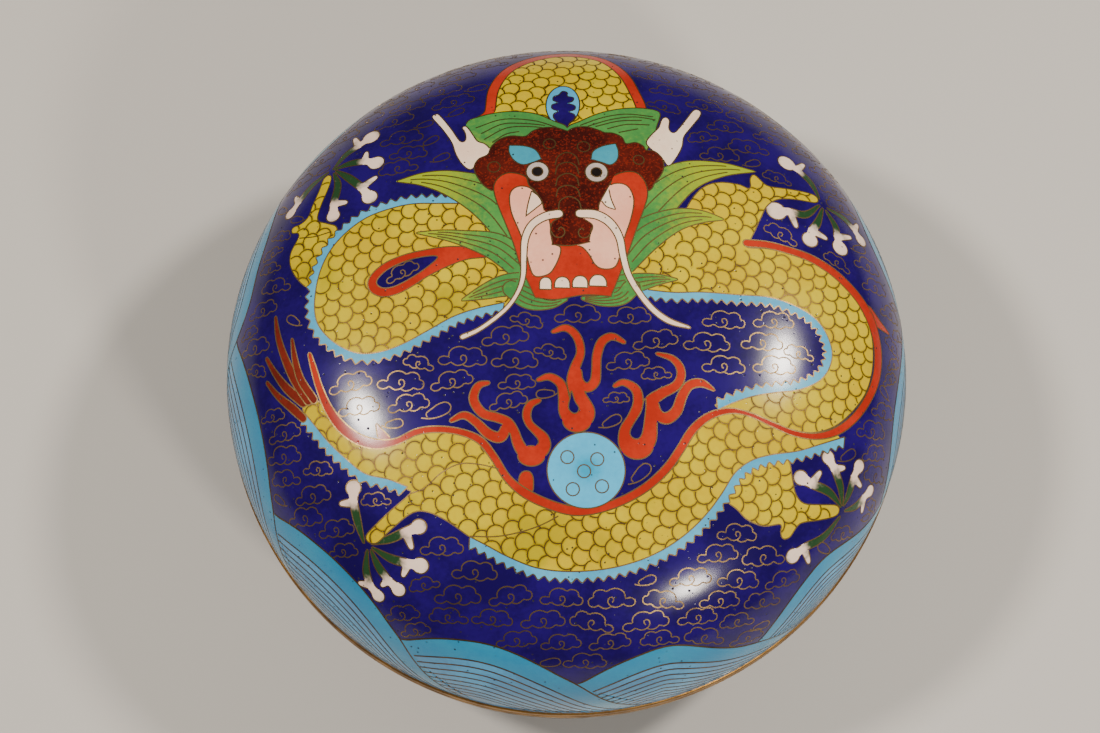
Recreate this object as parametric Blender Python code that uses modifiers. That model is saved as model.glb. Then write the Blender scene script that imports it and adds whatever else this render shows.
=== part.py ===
"""A round lidded box in cloisonne enamel: a domed lid on a shallow bowl, with brass rims and a brass foot.

Metres, +Z up. The origin is on the axis, at the surface that the foot stands on.
"""

import math

import bpy

# Driving dimensions, in metres
BODY_RADIUS = 0.0900
LID_HEIGHT = 0.0500
LID_FULLNESS = 2.7
LID_WALL = 0.0024
BOWL_DEPTH = 0.0350
BOWL_FULLNESS = 2.4
BOWL_WALL = 0.0024
RIM_HEIGHT = 0.0028
RIM_WIDTH = 0.0038
RIM_PROUD = 0.0004
RIM_ROUNDING = 0.0007
COLLAR_HEIGHT = 0.0042
COLLAR_THICKNESS = 0.0013
COLLAR_CLEARANCE = 0.0006
FOOT_RADIUS = 0.0520
FOOT_THICKNESS = 0.0024
FOOT_FLARE = 0.0014
FOOT_FLARE_HEIGHT = 0.0030
FOOT_RECESS = 0.0030
SEAM_GAP = 0.0003

# How finely the turned shapes are faceted
TURN_STEPS = 64
LID_RINGS = 14
BOWL_RINGS = 12
CORNER_STEPS = 2
CURVE_SAMPLES = 600
MERGE_DISTANCE = 0.00005

# Where the pieces meet, worked up from the table
BOWL_TOP = FOOT_RECESS + BOWL_DEPTH
BOWL_RIM_BASE = BOWL_TOP + SEAM_GAP
BOWL_RIM_TOP = BOWL_RIM_BASE + RIM_HEIGHT
LID_RIM_BASE = BOWL_RIM_TOP + SEAM_GAP
LID_RIM_TOP = LID_RIM_BASE + RIM_HEIGHT
LID_BASE = LID_RIM_TOP + SEAM_GAP
RIM_OUTER = BODY_RADIUS + RIM_PROUD
RIM_INNER = RIM_OUTER - RIM_WIDTH


def clear_scene():
    """Removes whatever the startup scene holds."""
    for obj in list(bpy.data.objects):
        bpy.data.objects.remove(obj)


def enamel_material(name, colour, roughness):
    """A plain Principled BSDF in one colour."""
    material = bpy.data.materials.new(name)
    material.use_nodes = True
    shader = material.node_tree.nodes["Principled BSDF"]
    shader.inputs["Base Color"].default_value = (*colour, 1.0)
    shader.inputs["Roughness"].default_value = roughness
    return material


def brass_material(name, colour, roughness):
    """Gilded brass."""
    material = enamel_material(name, colour, roughness)
    material.node_tree.nodes["Principled BSDF"].inputs["Metallic"].default_value = 1.0
    return material


def superellipse(radius, height, fullness):
    """The quarter outline of a bun, from its crown (0, height) to its widest (radius, 0)."""
    power = 2.0 / fullness
    outline = []
    for i in range(CURVE_SAMPLES + 1):
        angle = 0.5 * math.pi * (1.0 - i / CURVE_SAMPLES)
        across = radius * max(math.cos(angle), 0.0) ** power
        up = height * max(math.sin(angle), 0.0) ** power
        outline.append((across, up))
    outline[0] = (0.0, height)
    outline[-1] = (radius, 0.0)
    return outline


def evenly_spaced(outline, pieces):
    """The same outline with pieces + 1 points, equally far apart along it."""
    run = [0.0]
    for a, b in zip(outline, outline[1:]):
        run.append(run[-1] + math.dist(a, b))
    points = []
    k = 0
    for i in range(pieces + 1):
        target = run[-1] * i / pieces
        while k < len(run) - 2 and run[k + 1] < target:
            k += 1
        share = (target - run[k]) / (run[k + 1] - run[k])
        a, b = outline[k], outline[k + 1]
        points.append((a[0] + share * (b[0] - a[0]), a[1] + share * (b[1] - a[1])))
    return points


def shell_section(radius, height, fullness, wall, rings):
    """A closed half section of a dome's wall, crown to lip outside and back up inside.

    The inner wall is a superellipse of its own, so the wall keeps its thickness at the lip and at the crown.
    """
    outer = evenly_spaced(superellipse(radius, height, fullness), rings)
    inner = evenly_spaced(superellipse(radius - wall, height - wall, fullness), rings)
    return outer + inner[::-1]


def raised(section, base):
    return [(r, base + z) for r, z in section]


def turned_over(section, top):
    """The section upside down, hanging from the height top, in the order that keeps its outer side outside."""
    return [(r, top - z) for r, z in reversed(section)]


def rounded_rim(inner, outer, base, top, rounding):
    """A rim's square section with its two outer corners rounded, outer side first, top to bottom."""
    section = [(inner, top)]
    for i in range(CORNER_STEPS + 1):
        angle = 0.5 * math.pi * (1.0 - i / CORNER_STEPS)
        section.append((outer - rounding * (1 - math.cos(angle)), top - rounding * (1 - math.sin(angle))))
    for i in range(CORNER_STEPS + 1):
        angle = 0.5 * math.pi * i / CORNER_STEPS
        section.append((outer - rounding * (1 - math.cos(angle)), base + rounding * (1 - math.sin(angle))))
    section.append((inner, base))
    return section


def turn(name, section, material, collection, closed):
    """Turns a half section round the Z axis. A closed section is joined end to start."""
    mesh = bpy.data.meshes.new(name)
    count = len(section)
    edges = [(i, i + 1) for i in range(count - 1)]
    if closed:
        edges.append((count - 1, 0))
    mesh.from_pydata([(r, 0.0, z) for r, z in section], edges, [])
    obj = bpy.data.objects.new(name, mesh)
    collection.objects.link(obj)
    screw = obj.modifiers.new("turn", "SCREW")
    screw.axis = "Z"
    screw.angle = 2.0 * math.pi
    screw.steps = TURN_STEPS
    screw.render_steps = TURN_STEPS
    screw.use_merge_vertices = True
    screw.merge_threshold = MERGE_DISTANCE
    screw.use_smooth_shade = True
    mesh.materials.append(material)
    return obj


def bowl_underside_at(radius):
    """The height of the bowl's outer skin at a radius."""
    share = min(radius / BODY_RADIUS, 1.0)
    return BOWL_TOP - BOWL_DEPTH * (1.0 - share**BOWL_FULLNESS) ** (1.0 / BOWL_FULLNESS)


def make_lid(collection, enamel, brass):
    """The domed lid and the brass rim under its lip."""
    section = raised(shell_section(BODY_RADIUS, LID_HEIGHT, LID_FULLNESS, LID_WALL, LID_RINGS), LID_BASE)
    turn("lid_shell", section, enamel, collection, closed=False)
    rim = rounded_rim(RIM_INNER, RIM_OUTER, LID_RIM_BASE, LID_RIM_TOP, RIM_ROUNDING)
    turn("lid_rim", rim, brass, collection, closed=True)


def make_bowl(collection, enamel, brass):
    """The bowl, its brass rim with the collar that keeps the lid in place, and its foot ring."""
    section = turned_over(
        shell_section(BODY_RADIUS, BOWL_DEPTH, BOWL_FULLNESS, BOWL_WALL, BOWL_RINGS), BOWL_TOP
    )
    turn("bowl_shell", section, enamel, collection, closed=False)

    collar_outer = RIM_INNER - COLLAR_CLEARANCE
    collar_inner = collar_outer - COLLAR_THICKNESS
    collar_top = BOWL_RIM_TOP + COLLAR_HEIGHT
    band = rounded_rim(collar_inner, RIM_OUTER, BOWL_RIM_BASE, BOWL_RIM_TOP, RIM_ROUNDING)
    rim = [(collar_inner, collar_top), (collar_outer, collar_top), (collar_outer, BOWL_RIM_TOP)] + band[1:]
    turn("bowl_rim", rim, brass, collection, closed=True)

    foot_inner = FOOT_RADIUS - FOOT_THICKNESS
    foot = [
        (foot_inner, bowl_underside_at(foot_inner) - SEAM_GAP),
        (FOOT_RADIUS, bowl_underside_at(FOOT_RADIUS) - SEAM_GAP),
        (FOOT_RADIUS, FOOT_FLARE_HEIGHT),
        (FOOT_RADIUS + FOOT_FLARE, 0.0),
        (foot_inner + FOOT_FLARE, 0.0),
        (foot_inner, FOOT_FLARE_HEIGHT),
    ]
    turn("foot_ring", foot, brass, collection, closed=True)


def main():
    clear_scene()
    collection = bpy.data.collections.new("cloisonne_box")
    bpy.context.scene.collection.children.link(collection)
    enamel = enamel_material("cobalt_enamel", (0.03, 0.025, 0.32), 0.12)
    brass = brass_material("gilt_brass", (0.62, 0.42, 0.16), 0.35)
    make_lid(collection, enamel, brass)
    make_bowl(collection, enamel, brass)


main()
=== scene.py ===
"""A round lidded box in cloisonne enamel: flush enamel between brass wires, on a domed lid and a footed bowl.

The artwork is drawn in a flat plan, in millimetres. A point's distance from the middle of the plan is its
distance along the surface from the crown, so the plan wraps onto the dome. u runs to the right and v away
from the viewer.
"""

import math
import random

import bpy
import numpy as np
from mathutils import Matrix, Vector
from mathutils.geometry import delaunay_2d_cdt
from mathutils.kdtree import KDTree


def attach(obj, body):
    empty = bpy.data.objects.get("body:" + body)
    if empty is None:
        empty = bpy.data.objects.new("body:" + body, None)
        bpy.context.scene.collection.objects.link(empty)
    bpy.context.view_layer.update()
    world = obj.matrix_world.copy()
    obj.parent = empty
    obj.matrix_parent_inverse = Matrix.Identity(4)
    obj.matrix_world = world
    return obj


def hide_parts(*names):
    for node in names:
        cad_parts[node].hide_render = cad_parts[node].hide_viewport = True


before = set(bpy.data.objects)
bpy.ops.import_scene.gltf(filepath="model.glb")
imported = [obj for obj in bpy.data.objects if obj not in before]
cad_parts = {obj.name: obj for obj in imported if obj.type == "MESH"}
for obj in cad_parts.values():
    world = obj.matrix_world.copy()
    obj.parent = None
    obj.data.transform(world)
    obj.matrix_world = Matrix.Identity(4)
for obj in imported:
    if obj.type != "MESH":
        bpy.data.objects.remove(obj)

bl_info = {
    "name": "Cloisonne Box",
    "version": (1, 0, 0),
    "blender": (4, 5, 0),
    "location": "3D View > Sidebar > Enamel",
    "description": "Builds the enamel inlays, wires and brass of a round lidded box",
    "category": "Object",
}

MM = 0.001

# Sizes of the turned parts in millimetres. A BASE or a TOP is a height above the table.
BODY_RADIUS = 90.0
LID_HEIGHT = 50.0
LID_FULLNESS = 2.7
BOWL_DEPTH = 35.0
BOWL_FULLNESS = 2.4
WALL = 2.4
BOWL_TOP = 38.0
SEAM = 0.3
RIM_HEIGHT = 2.8
BOWL_RIM_BASE = BOWL_TOP + SEAM
LID_RIM_BASE = BOWL_RIM_BASE + RIM_HEIGHT + SEAM
LID_BASE = LID_RIM_BASE + RIM_HEIGHT + SEAM
RIM_OUTER = 90.4
RIM_INNER = 86.6
COLLAR_OUTER = 86.0
COLLAR_INNER = 84.7
COLLAR_HEIGHT = 4.2
FOOT_OUTER = 52.0
FOOT_INNER = 49.6
FOOT_FLARE = 1.4
FOOT_FLARE_HEIGHT = 3.0
# How far the enamel lies inside the CAD skin
SET_BACK = 0.08
# Faces round a turned lining or foot, and round a rim
LINING_STEPS = 144
RIM_STEPS = 192

# The photographed view. The camera's place is measured from the middle of the lid's open plane.
CAMERA_FORWARD = -165.2
CAMERA_ABOVE = 511.6
CAMERA_PITCH = math.radians(71.8)
CAMERA_YAW = math.radians(-1.494)
FOCAL_PIXELS = 2000.0
PICTURE_SIZE = (1100, 733)
SENSOR_WIDTH = 36.0
# Each lamp: the pixel at which the lid mirrors it, its power in watts, its width in metres
LAMPS = {
    "left_light": ((363, 415), 7.4, 0.13),
    "right_light": ((783, 360), 7.4, 0.12),
    "front_light": ((690, 587), 5.0, 0.13),
}
LAMP_DISTANCE = 0.9
LAMP_COLOUR = (1.0, 0.93, 0.84)
ROOM_COLOUR = (1.0, 0.96, 0.92, 1.0)
ROOM_STRENGTH = 0.09
FLOOR_HALF = 3.0


def linear(red, green, blue):
    """A screen colour from 0 to 255 as the linear values that Blender's colours hold."""
    shares = (red / 255, green / 255, blue / 255)
    return tuple(c / 12.92 if c <= 0.04045 else ((c + 0.055) / 1.055) ** 2.4 for c in shares)


# Plan geometry


def even_steps(line, step):
    """The same line with points about a step apart. Every column is carried along."""
    gaps = np.hypot(*np.diff(line[:, :2], axis=0).T)
    keep = np.concatenate([[True], gaps > 1e-6])
    line = line[keep]
    run = np.concatenate([[0.0], np.cumsum(np.hypot(*np.diff(line[:, :2], axis=0).T))])
    count = max(int(round(run[-1] / step)), 2)
    at = np.linspace(0.0, run[-1], count + 1)
    return np.stack([np.interp(at, run, column) for column in line.T], 1)


def smooth(points, closed=False, step=0.55):
    """A spline through the points. A point given twice is a sharp corner."""
    p = np.array(points, float)
    around = [p[-1:], p, p[:2]] if closed else [2 * p[:1] - p[1:2], p, 2 * p[-1:] - p[-2:-1]]
    q = np.vstack(around)
    t = np.linspace(0.0, 1.0, 9)[:-1, None]
    spans = []
    for a, b, c, d in zip(q, q[1:], q[2:], q[3:]):
        straight = 2 * b + (c - a) * t
        spans.append(0.5 * (straight + (2 * a - 5 * b + 4 * c - d) * t**2 + (3 * b - a - 3 * c + d) * t**3))
    spans.append(p[:1] if closed else p[-1:])
    line = even_steps(np.vstack(spans), step)
    return line[:-1] if closed else line


def normals_of(line):
    """The left-hand unit normal at each point of an open line."""
    along = np.gradient(line[:, :2], axis=0)
    along /= np.maximum(np.hypot(*along.T), 1e-9)[:, None]
    return np.stack([-along[:, 1], along[:, 0]], 1)


def strand(points):
    """The outline of a tapered stroke through (u, v, half width) points, with round ends."""
    line = smooth(points)
    side = normals_of(line)
    along = np.stack([side[:, 1], -side[:, 0]], 1)
    width = np.maximum(line[:, 2:3], 0.08)
    turn = np.radians(np.linspace(90, -90, 7))[1:-1, None]
    front = line[-1, :2] + width[-1] * (np.cos(turn) * along[-1] + np.sin(turn) * side[-1])
    back = line[0, :2] - width[0] * (np.cos(turn) * along[0] + np.sin(turn) * side[0])
    return np.vstack([line[:, :2] + side * width, front, (line[:, :2] - side * width)[::-1], back])


def ellipse(centre, across, up, step=0.5):
    """The outline of an ellipse of the given half sizes."""
    count = max(int(math.pi * (across + up) / step), 12)
    angle = np.arange(count) * 2 * math.pi / count
    return np.stack([centre[0] + across * np.cos(angle), centre[1] + up * np.sin(angle)], 1)


def ring(centre, radius):
    """A closed line for a small ring of wire."""
    line = ellipse(centre, radius, radius, 0.4)
    return np.vstack([line, line[:1]])


def serrated(path, side):
    """A fin with its inner edge on the path and a row of teeth along its outer edge. side is 1 for left."""
    line = smooth(path, step=0.6)
    line = line + side * normals_of(line) * -0.3
    run = np.concatenate([[0.0], np.cumsum(np.hypot(*np.diff(line, axis=0).T))])
    count = int(run[-1] / FIN_PITCH)
    at = np.linspace(0, run[-1], 2 * count + 1)
    middle = np.stack([np.interp(at, run, line[:, k]) for k in (0, 1)], 1)
    outward = np.stack([np.interp(at, run, normals_of(line)[:, k]) for k in (0, 1)], 1) * side
    reach = FIN_BASE + FIN_TOOTH * (np.arange(len(at)) % 2)
    reach[[0, -1]] = 0.1
    outer = middle + outward * reach[:, None]
    return np.vstack([line, outer[::-1]])


def winding(points, outline):
    """True for each point inside the outline, by its winding number."""
    low, high = outline.min(0), outline.max(0)
    near = np.where(((points >= low) & (points <= high)).all(1))[0]
    found = np.zeros(len(points), bool)
    if not len(near):
        return found
    near = near[np.argsort(points[near, 1])]
    x, y = points[near].T
    turns = np.zeros(len(near), int)
    ends = np.roll(outline, -1, axis=0)
    first = np.searchsorted(y, np.minimum(outline[:, 1], ends[:, 1])).tolist()
    last = np.searchsorted(y, np.maximum(outline[:, 1], ends[:, 1])).tolist()
    for (ax, ay), (bx, by), i, j in zip(outline.tolist(), ends.tolist(), first, last):
        if i == j:
            continue
        left = (bx - ax) * (y[i:j] - ay) - (x[i:j] - ax) * (by - ay)
        if ay < by:
            turns[i:j] += left > 0
        else:
            turns[i:j] -= left < 0
    found[near] = turns != 0
    return found


class Cell:
    """One area of enamel in the plan. Later cells in a list lie over earlier ones.

    within is an outline that it stays inside, wired says whether wire runs round it, merged is an outline
    inside which that wire is left out, and cells of one group have no wire between them.
    """

    def __init__(self, finish, outline, within=None, wired=True, merged=None, group=None):
        self.finish = finish
        self.outline = np.array(outline, float)
        self.within = within
        self.wired = wired
        self.merged = merged
        self.group = group

    def holds(self, points):
        found = winding(points, self.outline)
        if self.within is not None:
            found &= winding(points, self.within)
        return found


def runs_where(line, kept, least=3):
    """The stretches of a line whose points are kept."""
    runs, current = [], []
    for point, good in zip(line, kept):
        if good:
            current.append(point)
        elif current:
            runs.append(current)
            current = []
    if current:
        runs.append(current)
    return [np.array(r) for r in runs if len(r) >= least]


# The domes


class Dome:
    """A turned surface that the plan wraps onto: the lid's outside, or the bowl's with side -1."""

    def __init__(self, radius, height, fullness, base, side):
        angle = np.linspace(math.pi / 2, 0.0, 6001)
        power = 2.0 / fullness
        across = radius * np.clip(np.cos(angle), 0, 1) ** power
        up = height * np.clip(np.sin(angle), 0, 1) ** power
        run = np.concatenate([[0.0], np.cumsum(np.hypot(np.diff(across), np.diff(up)))])
        self.reach = run[-1]
        self.run = np.linspace(0.0, self.reach, 1201)
        self.across = np.interp(self.run, run, across)
        self.up = base + side * np.interp(self.run, run, up)
        self.side = side

    def place(self, plan, depth=0.0):
        """(points, outward normals) in metres and unit length."""
        s = np.hypot(*plan.T)
        share = plan / np.maximum(s, 1e-9)[:, None]
        slope_r = np.interp(s, self.run, np.gradient(self.across, self.run))
        slope_z = np.interp(s, self.run, np.gradient(self.up, self.run))
        length = np.hypot(slope_r, slope_z)
        out_r, out_z = -self.side * slope_z / length, self.side * slope_r / length
        normal = np.column_stack([share * out_r[:, None], out_z])
        across, up = np.interp(s, self.run, self.across), np.interp(s, self.run, self.up)
        point = np.column_stack([share * across[:, None], up])
        return (point - depth * normal) * MM, normal

    def outline_object(self, name):
        """The turned profile as a line of edges, which the wire nodes sample."""
        points = [(r * MM, 0.0, z * MM) for r, z in zip(self.across, self.up)]
        mesh = bpy.data.meshes.new(name)
        mesh.from_pydata(points, [(i, i + 1) for i in range(len(points) - 1)], [])
        return linked(name, mesh)


LID_DOME = Dome(BODY_RADIUS - SET_BACK, LID_HEIGHT - SET_BACK, LID_FULLNESS, LID_BASE, 1)
BOWL_DOME = Dome(BODY_RADIUS - SET_BACK, BOWL_DEPTH - SET_BACK, BOWL_FULLNESS, BOWL_TOP, -1)


# The lid's artwork

SPINE = [
    (44.5, 21.7, 1.0), (50, 21.9, 1.0), (56, 21.2, 1.0), (62, 20.0, 1.1), (68, 17.6, 1.2), (73, 14.4, 1.3),
    (77, 11, 1.4), (80, 7, 1.6), (82, 2, 1.5), (82.6, -3, 1.5), (81.8, -9, 1.4), (79, -15, 1.2), (74.5, -20.8, 1.1),
    (69, -25, 1.0), (63, -27, 0.8), (57, -26.9, 0.7), (51, -25.2, 0.6), (45, -23.2, 0.5), (40, -22.7, 0.7),
    (35, -24.4, 0.9), (31, -28, 1.0), (28, -33, 1.0), (25, -37.5, 1.0), (20.5, -42, 1.0), (15, -45.5, 1.0),
    (9, -47.9, 1.0), (3, -48.7, 1.1), (-3, -47.4, 1.1), (-9, -44.8, 1.1), (-13.5, -41.2, 0.9), (-17, -36, 0.9),
    (-20.5, -32, 0.9), (-25.5, -30, 0.8), (-31, -29.4, 0.8), (-36, -30, 0.8), (-41, -32.3, 0.8), (-46, -32.8, 1.2),
    (-51, -31.3, 1.3), (-55.5, -28, 1.3), (-59, -23.4, 1.1), (-61.6, -18, 0.9), (-63.4, -13, 0.8), (-64.8, -9, 0.5),
]
SPURS = [
    [(79.5, 8.5, 2.2), (83.5, 6.5, 1.3), (88, 5, 0.3)],
    [(-9.0, -43.6, 1.8), (-9.0, -42, 1.8), (-9.0, -41, 1.7)],
    [(-44, -32, 1.6), (-45, -30.2, 1.0), (-46.2, -27.8, 0.2)],
]
TAIL_STRANDS = [
    [(-66, -25.5, 1.0), (-69.5, -22.5, 1.1), (-74, -19, 0.8), (-77.8, -15, 0.5)],
    [(-66, -21.5, 1.2), (-71, -17.5, 1.1), (-75, -13, 0.8), (-78.2, -8.5, 0.5)],
    [(-64.5, -21, 1.3), (-69, -15, 1.2), (-72.5, -8.5, 1.0), (-74.7, -3, 0.8), (-76, 2.5, 0.4)],
    [(-63, -21, 1.0), (-67, -15.5, 1.0), (-69, -10, 0.8), (-70.2, -4.5, 0.4)],
]
RIGHT_COIL = [
    (18, 24), (28, 26), (40, 22), (44.5, 20.5), (50, 20.8), (56, 20.1), (62, 18.9), (68, 16.4), (73, 13), (77, 9.2),
    (80, 3), (80.6, -3), (79.8, -9), (77.5, -14.5), (73, -20), (68, -24), (62, -26.2), (56, -26), (50, -24.2),
    (44, -22.4), (37, -22), (37, -21), (41, -20.3), (46, -18.3), (52, -16.8), (58, -15.5), (63.5, -12.5),
    (66.3, -8.5), (66.8, -4), (64.5, 1), (61, 4), (56, 6), (50, 7.2), (42, 7), (33, 7), (26, 6.5), (16, 8), (14, 16),
]
LOWER_COIL = [
    (69, -26), (62, -27.2), (56, -26.8), (50, -25), (45, -23), (40, -22.5), (35, -24.2), (31, -28), (28, -33),
    (25, -37.5), (20.5, -42), (15, -45.5), (9, -48), (3, -48.8), (-3, -47.5), (-9, -44.8), (-13.5, -41), (-17, -36),
    (-20.5, -32), (-25.5, -30), (-31, -29.4), (-36, -30), (-41, -32.3), (-46, -33), (-51, -31.5), (-55.5, -28.3),
    (-59, -24), (-61.5, -21.6), (-64.5, -20.6), (-66.3, -22), (-65.6, -24.6), (-63, -27.5), (-59, -32),
    (-54, -36.5), (-49, -40.2), (-43, -41.7), (-38, -44), (-37.2, -44.9), (-42.5, -49.3), (-46.5, -52.8),
    (-48.9, -55.2), (-48.4, -56.8), (-46, -57), (-42.5, -54), (-37, -49.8), (-33, -49.4), (-28, -51.6),
    (-22.5, -55.3), (-18, -57.8), (-13, -60.3), (-6, -62.8), (2, -63.5), (11, -62.6), (19, -60.3), (25.5, -57),
    (31, -52.8), (35.5, -48), (39, -43), (42, -38), (46, -34.8), (51, -33), (58, -31.5), (64, -29.3), (69.5, -28),
]
LEFT_COIL = [
    (-12, 28), (-20, 29.5), (-27, 30), (-33, 30.3), (-40, 30.5), (-46, 29.5), (-52, 27.5), (-57, 24), (-61, 19.5),
    (-63.5, 14), (-64.5, 8), (-64.3, 2), (-62.5, -2.5), (-58, -7), (-52, -10), (-46, -10), (-40, -8), (-34, -4.7),
    (-28, -1.2), (-22, 1), (-14, 3), (-11, 14),
]
COIL_SLIT = [
    (-20, 17), (-29, 17.8), (-36, 17), (-42, 15.6), (-47, 13.2), (-50, 9.6), (-49.4, 6.4), (-46.3, 4.7), (-42.6, 5.2),
    (-39, 7), (-35, 9.7), (-30, 12.4), (-25, 14.3), (-20, 15),
]
SLIT_GROUND = [
    (-32.6, 15), (-36, 15.2), (-41, 14), (-45.5, 11.8), (-47.9, 9), (-46.6, 7.2), (-43.6, 7.2), (-39.5, 9.2),
    (-35.5, 12),
]
# The fins follow stretches of the coils' outlines
BELLY_FINS = [
    (-1, [(-24, 30)] + LEFT_COIL[3:20] + [(-15.5, 2.6)]),
    (-1, [(18, 7)] + RIGHT_COIL[35:21:-1] + [(37, -22.4)]),
    (1, [(71.6, -26.4)] + LOWER_COIL[62:47:-1] + [(-22.5, -55.6)]),
    (1, [(-38, -43.6)] + LOWER_COIL[35:30:-1] + [(-65.8, -24.4)]),
]
FIN_BASE, FIN_TOOTH, FIN_PITCH = 1.5, 1.5, 2.5
UPPER_LEFT_LEG = [
    (-66.5, 9), (-70, 12), (-72.8, 16.5), (-73.2, 20.5), (-71.4, 24.6), (-71.8, 26.2), (-73.9, 26.8), (-74, 28.6),
    (-71.4, 29), (-69.3, 30.6), (-68.4, 34.5), (-67.2, 39), (-66.6, 42.8), (-65.2, 43.8), (-64, 42.6), (-64.2, 39),
    (-65.6, 33.5), (-66, 29), (-63, 27.2), (-60, 25.6), (-60, 22), (-62.6, 16), (-64.4, 10),
]
UPPER_RIGHT_LEG = [
    (24, 24), (28, 28), (31, 33.5), (34, 37), (38, 38.7), (43, 38.8), (46, 38), (46.2, 41.2), (47.4, 42.8),
    (49.2, 41.2), (51.4, 39.8), (58, 40.4), (64.5, 40.8), (66, 39.4), (64.5, 38), (58, 37.2), (53.4, 36), (50.4, 33.4),
    (48.6, 29.6), (46.6, 25), (44.4, 20.8), (40, 16), (30, 14),
]
LOWER_RIGHT_LEG = [
    (39.4, -44.2), (41.4, -41), (43.4, -37), (46.8, -34.2), (51.6, -32.8), (55.5, -33.6), (57, -38.6),
    (58.2, -42), (60.8, -44), (66, -43.9), (71, -43.7), (72.4, -45), (71.2, -46.6), (66, -47.9), (60.6, -48.9),
    (58.9, -50.6), (57.6, -52.7), (55.6, -53.2), (54.7, -51.4), (54.6, -49.6), (50, -50.3), (45.5, -49),
    (42.6, -46.6),
]
ARCH = [
    (-23.2, 54), (-22.9, 59), (-22.4, 68.4), (-18.4, 77.8), (-10.6, 84.4), (-1.3, 86.9), (8.1, 83.6), (14.4, 75.7),
    (17.6, 67), (19.4, 59.8), (18.6, 50),
]
ARCH_FIELD = [
    (-20.4, 52), (-20.2, 59), (-19.6, 67.6), (-16.2, 75.9), (-9.4, 81.7), (-1.3, 84), (6.8, 81.3), (12, 74.3),
    (15, 66.2), (16.8, 59.6), (17.6, 52),
]
CREST = [
    (-2.8, 65.8), (-1.4, 65.2), (-1.6, 63.8), (0.2, 63.4), (-0.2, 61.8), (-1.4, 61.2), (0.6, 60.4), (0.4, 58.8),
    (-1.2, 58.2), (0.6, 57.2), (0.4, 55.6), (-0.8, 54.2), (-1.4, 52.6), (-3.2, 54), (-4.8, 55.8), (-4.9, 57.4),
    (-3.6, 58.3), (-5.3, 59), (-5.4, 60.6), (-3.8, 61.4), (-5.2, 62.2), (-5, 63.8), (-3.8, 64.2),
]
MANE = [
    [(-27.6, 54.6), (-24, 57), (-17, 58.3), (-10, 57.5), (-5, 55), (-1.3, 52.7), (-4, 48), (-15, 45), (-21, 43),
     (-25, 47.6)],
    [(-1.3, 52.7), (2, 55), (7, 58), (12.6, 60), (18.5, 60.8), (22.8, 59.8), (22, 55), (20.6, 50), (17, 44), (8, 45),
     (0, 48)],
]
MANE_LEAVES = [
    [(-12, 20, 5), (-19, 30, 6), (-29, 35.4, 4), (-37, 37.4, 2.2), (-44.6, 37.4, 0.2)],
    [(-11, 12, 3.6), (-18, 17.6, 3.6), (-27, 20.2, 2), (-32.5, 21.2, 1.2), (-38.4, 21.8, 0.2)],
    [(-9, 7, 4), (-15, 7.4, 3), (-20.5, 5.6, 2), (-26, 3.4, 0.3)],
    [(-14, 6.5, 2.2), (-9.4, 3.8, 2.6), (-4.4, 2.9, 1.5), (-0.4, 4, 0.4)],
    [(13, 20, 5), (20, 31, 6.2), (28.6, 39.2, 4.6), (38, 42.7, 2.4), (47.8, 43.8, 0.2)],
    [(13, 14, 3.6), (18.6, 21.6, 4.4), (26, 26.4, 3.2), (32.6, 28, 1.9), (38.6, 27.8, 0.3)],
    [(11, 7, 3.4), (16.5, 8.8, 2.6), (22, 10, 1.5), (27, 10.3, 0.2)],
    [(3.6, 4.4, 0.5), (8.2, 3.9, 1.4), (13, 4.8, 1.9), (15.6, 7.6, 2.2)],
]
MANE_TOP_HAIRS = [
    [(-25, 53), (-18, 55.6), (-10, 55), (-4, 52.8)], [(-22.6, 49), (-17, 52.6), (-11, 53), (-6, 52.4)],
    [(2, 53.6), (8, 56.6), (14, 58.2), (21, 58)], [(6, 53.4), (12, 55.6), (18, 56.4)],
    [(12, 51.8), (17, 53.4)], [(-23.4, 51), (-18, 54), (-12, 54), (-7, 53.4)],
    [(-20.4, 48), (-17, 50.6), (-13.6, 51.4)], [(4, 53.4), (10, 56), (16, 57.4), (21.6, 57)],
    [(9, 52.8), (14, 54.6), (20, 55)],
]
HORNS = [
    [(-36.4, 59.2), (-35.2, 58.8), (-31.6, 53.4), (-28.8, 48.8), (-27.4, 49), (-27.6, 51.4), (-28.6, 53.4),
     (-27.4, 53.6), (-25.4, 50.4), (-24.2, 48.5), (-22, 47.4), (-20.6, 44.6), (-23.6, 42.2), (-25.4, 39.7),
     (-27.6, 41.2), (-29.6, 44.6), (-31, 48.6), (-34, 53.6), (-37, 58)],
    [(19.1, 48.9), (20.3, 51.5), (22.4, 54.4), (23.2, 57.2), (24.3, 58.3), (25.3, 57.3), (25.1, 54.2), (26.6, 53.2),
     (29.6, 58), (32.1, 62.4), (33.8, 62.6), (33.8, 60.6), (31, 55.6), (29, 52.2), (28.4, 48.8), (27, 45.4),
     (24.8, 42.2), (23.2, 44.4), (20.8, 46.6)],
]
HEAD = [
    (-24.7, 40.1), (-23.7, 42.9), (-21.4, 44.2), (-20.6, 46.6), (-18.5, 49), (-15.6, 50), (-12, 49.8), (-10.2, 51.5),
    (-7.6, 52.6), (-4.2, 52.7), (-1.2, 51.6), (-1.2, 51.6), (0.5, 52.8), (3.8, 53.2), (7.2, 52.1), (8.4, 51.5),
    (10.6, 51.5), (12.9, 50.2), (13.8, 48.3), (16.3, 48.9), (18.3, 47.9), (19, 46.6), (21, 46.6), (23.2, 44.4),
    (23.5, 41.4), (22.6, 39), (21.2, 36.9), (19, 34), (8, 30), (-8, 30), (-18.6, 33), (-21.4, 34.4), (-23.3, 36.8),
]
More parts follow.
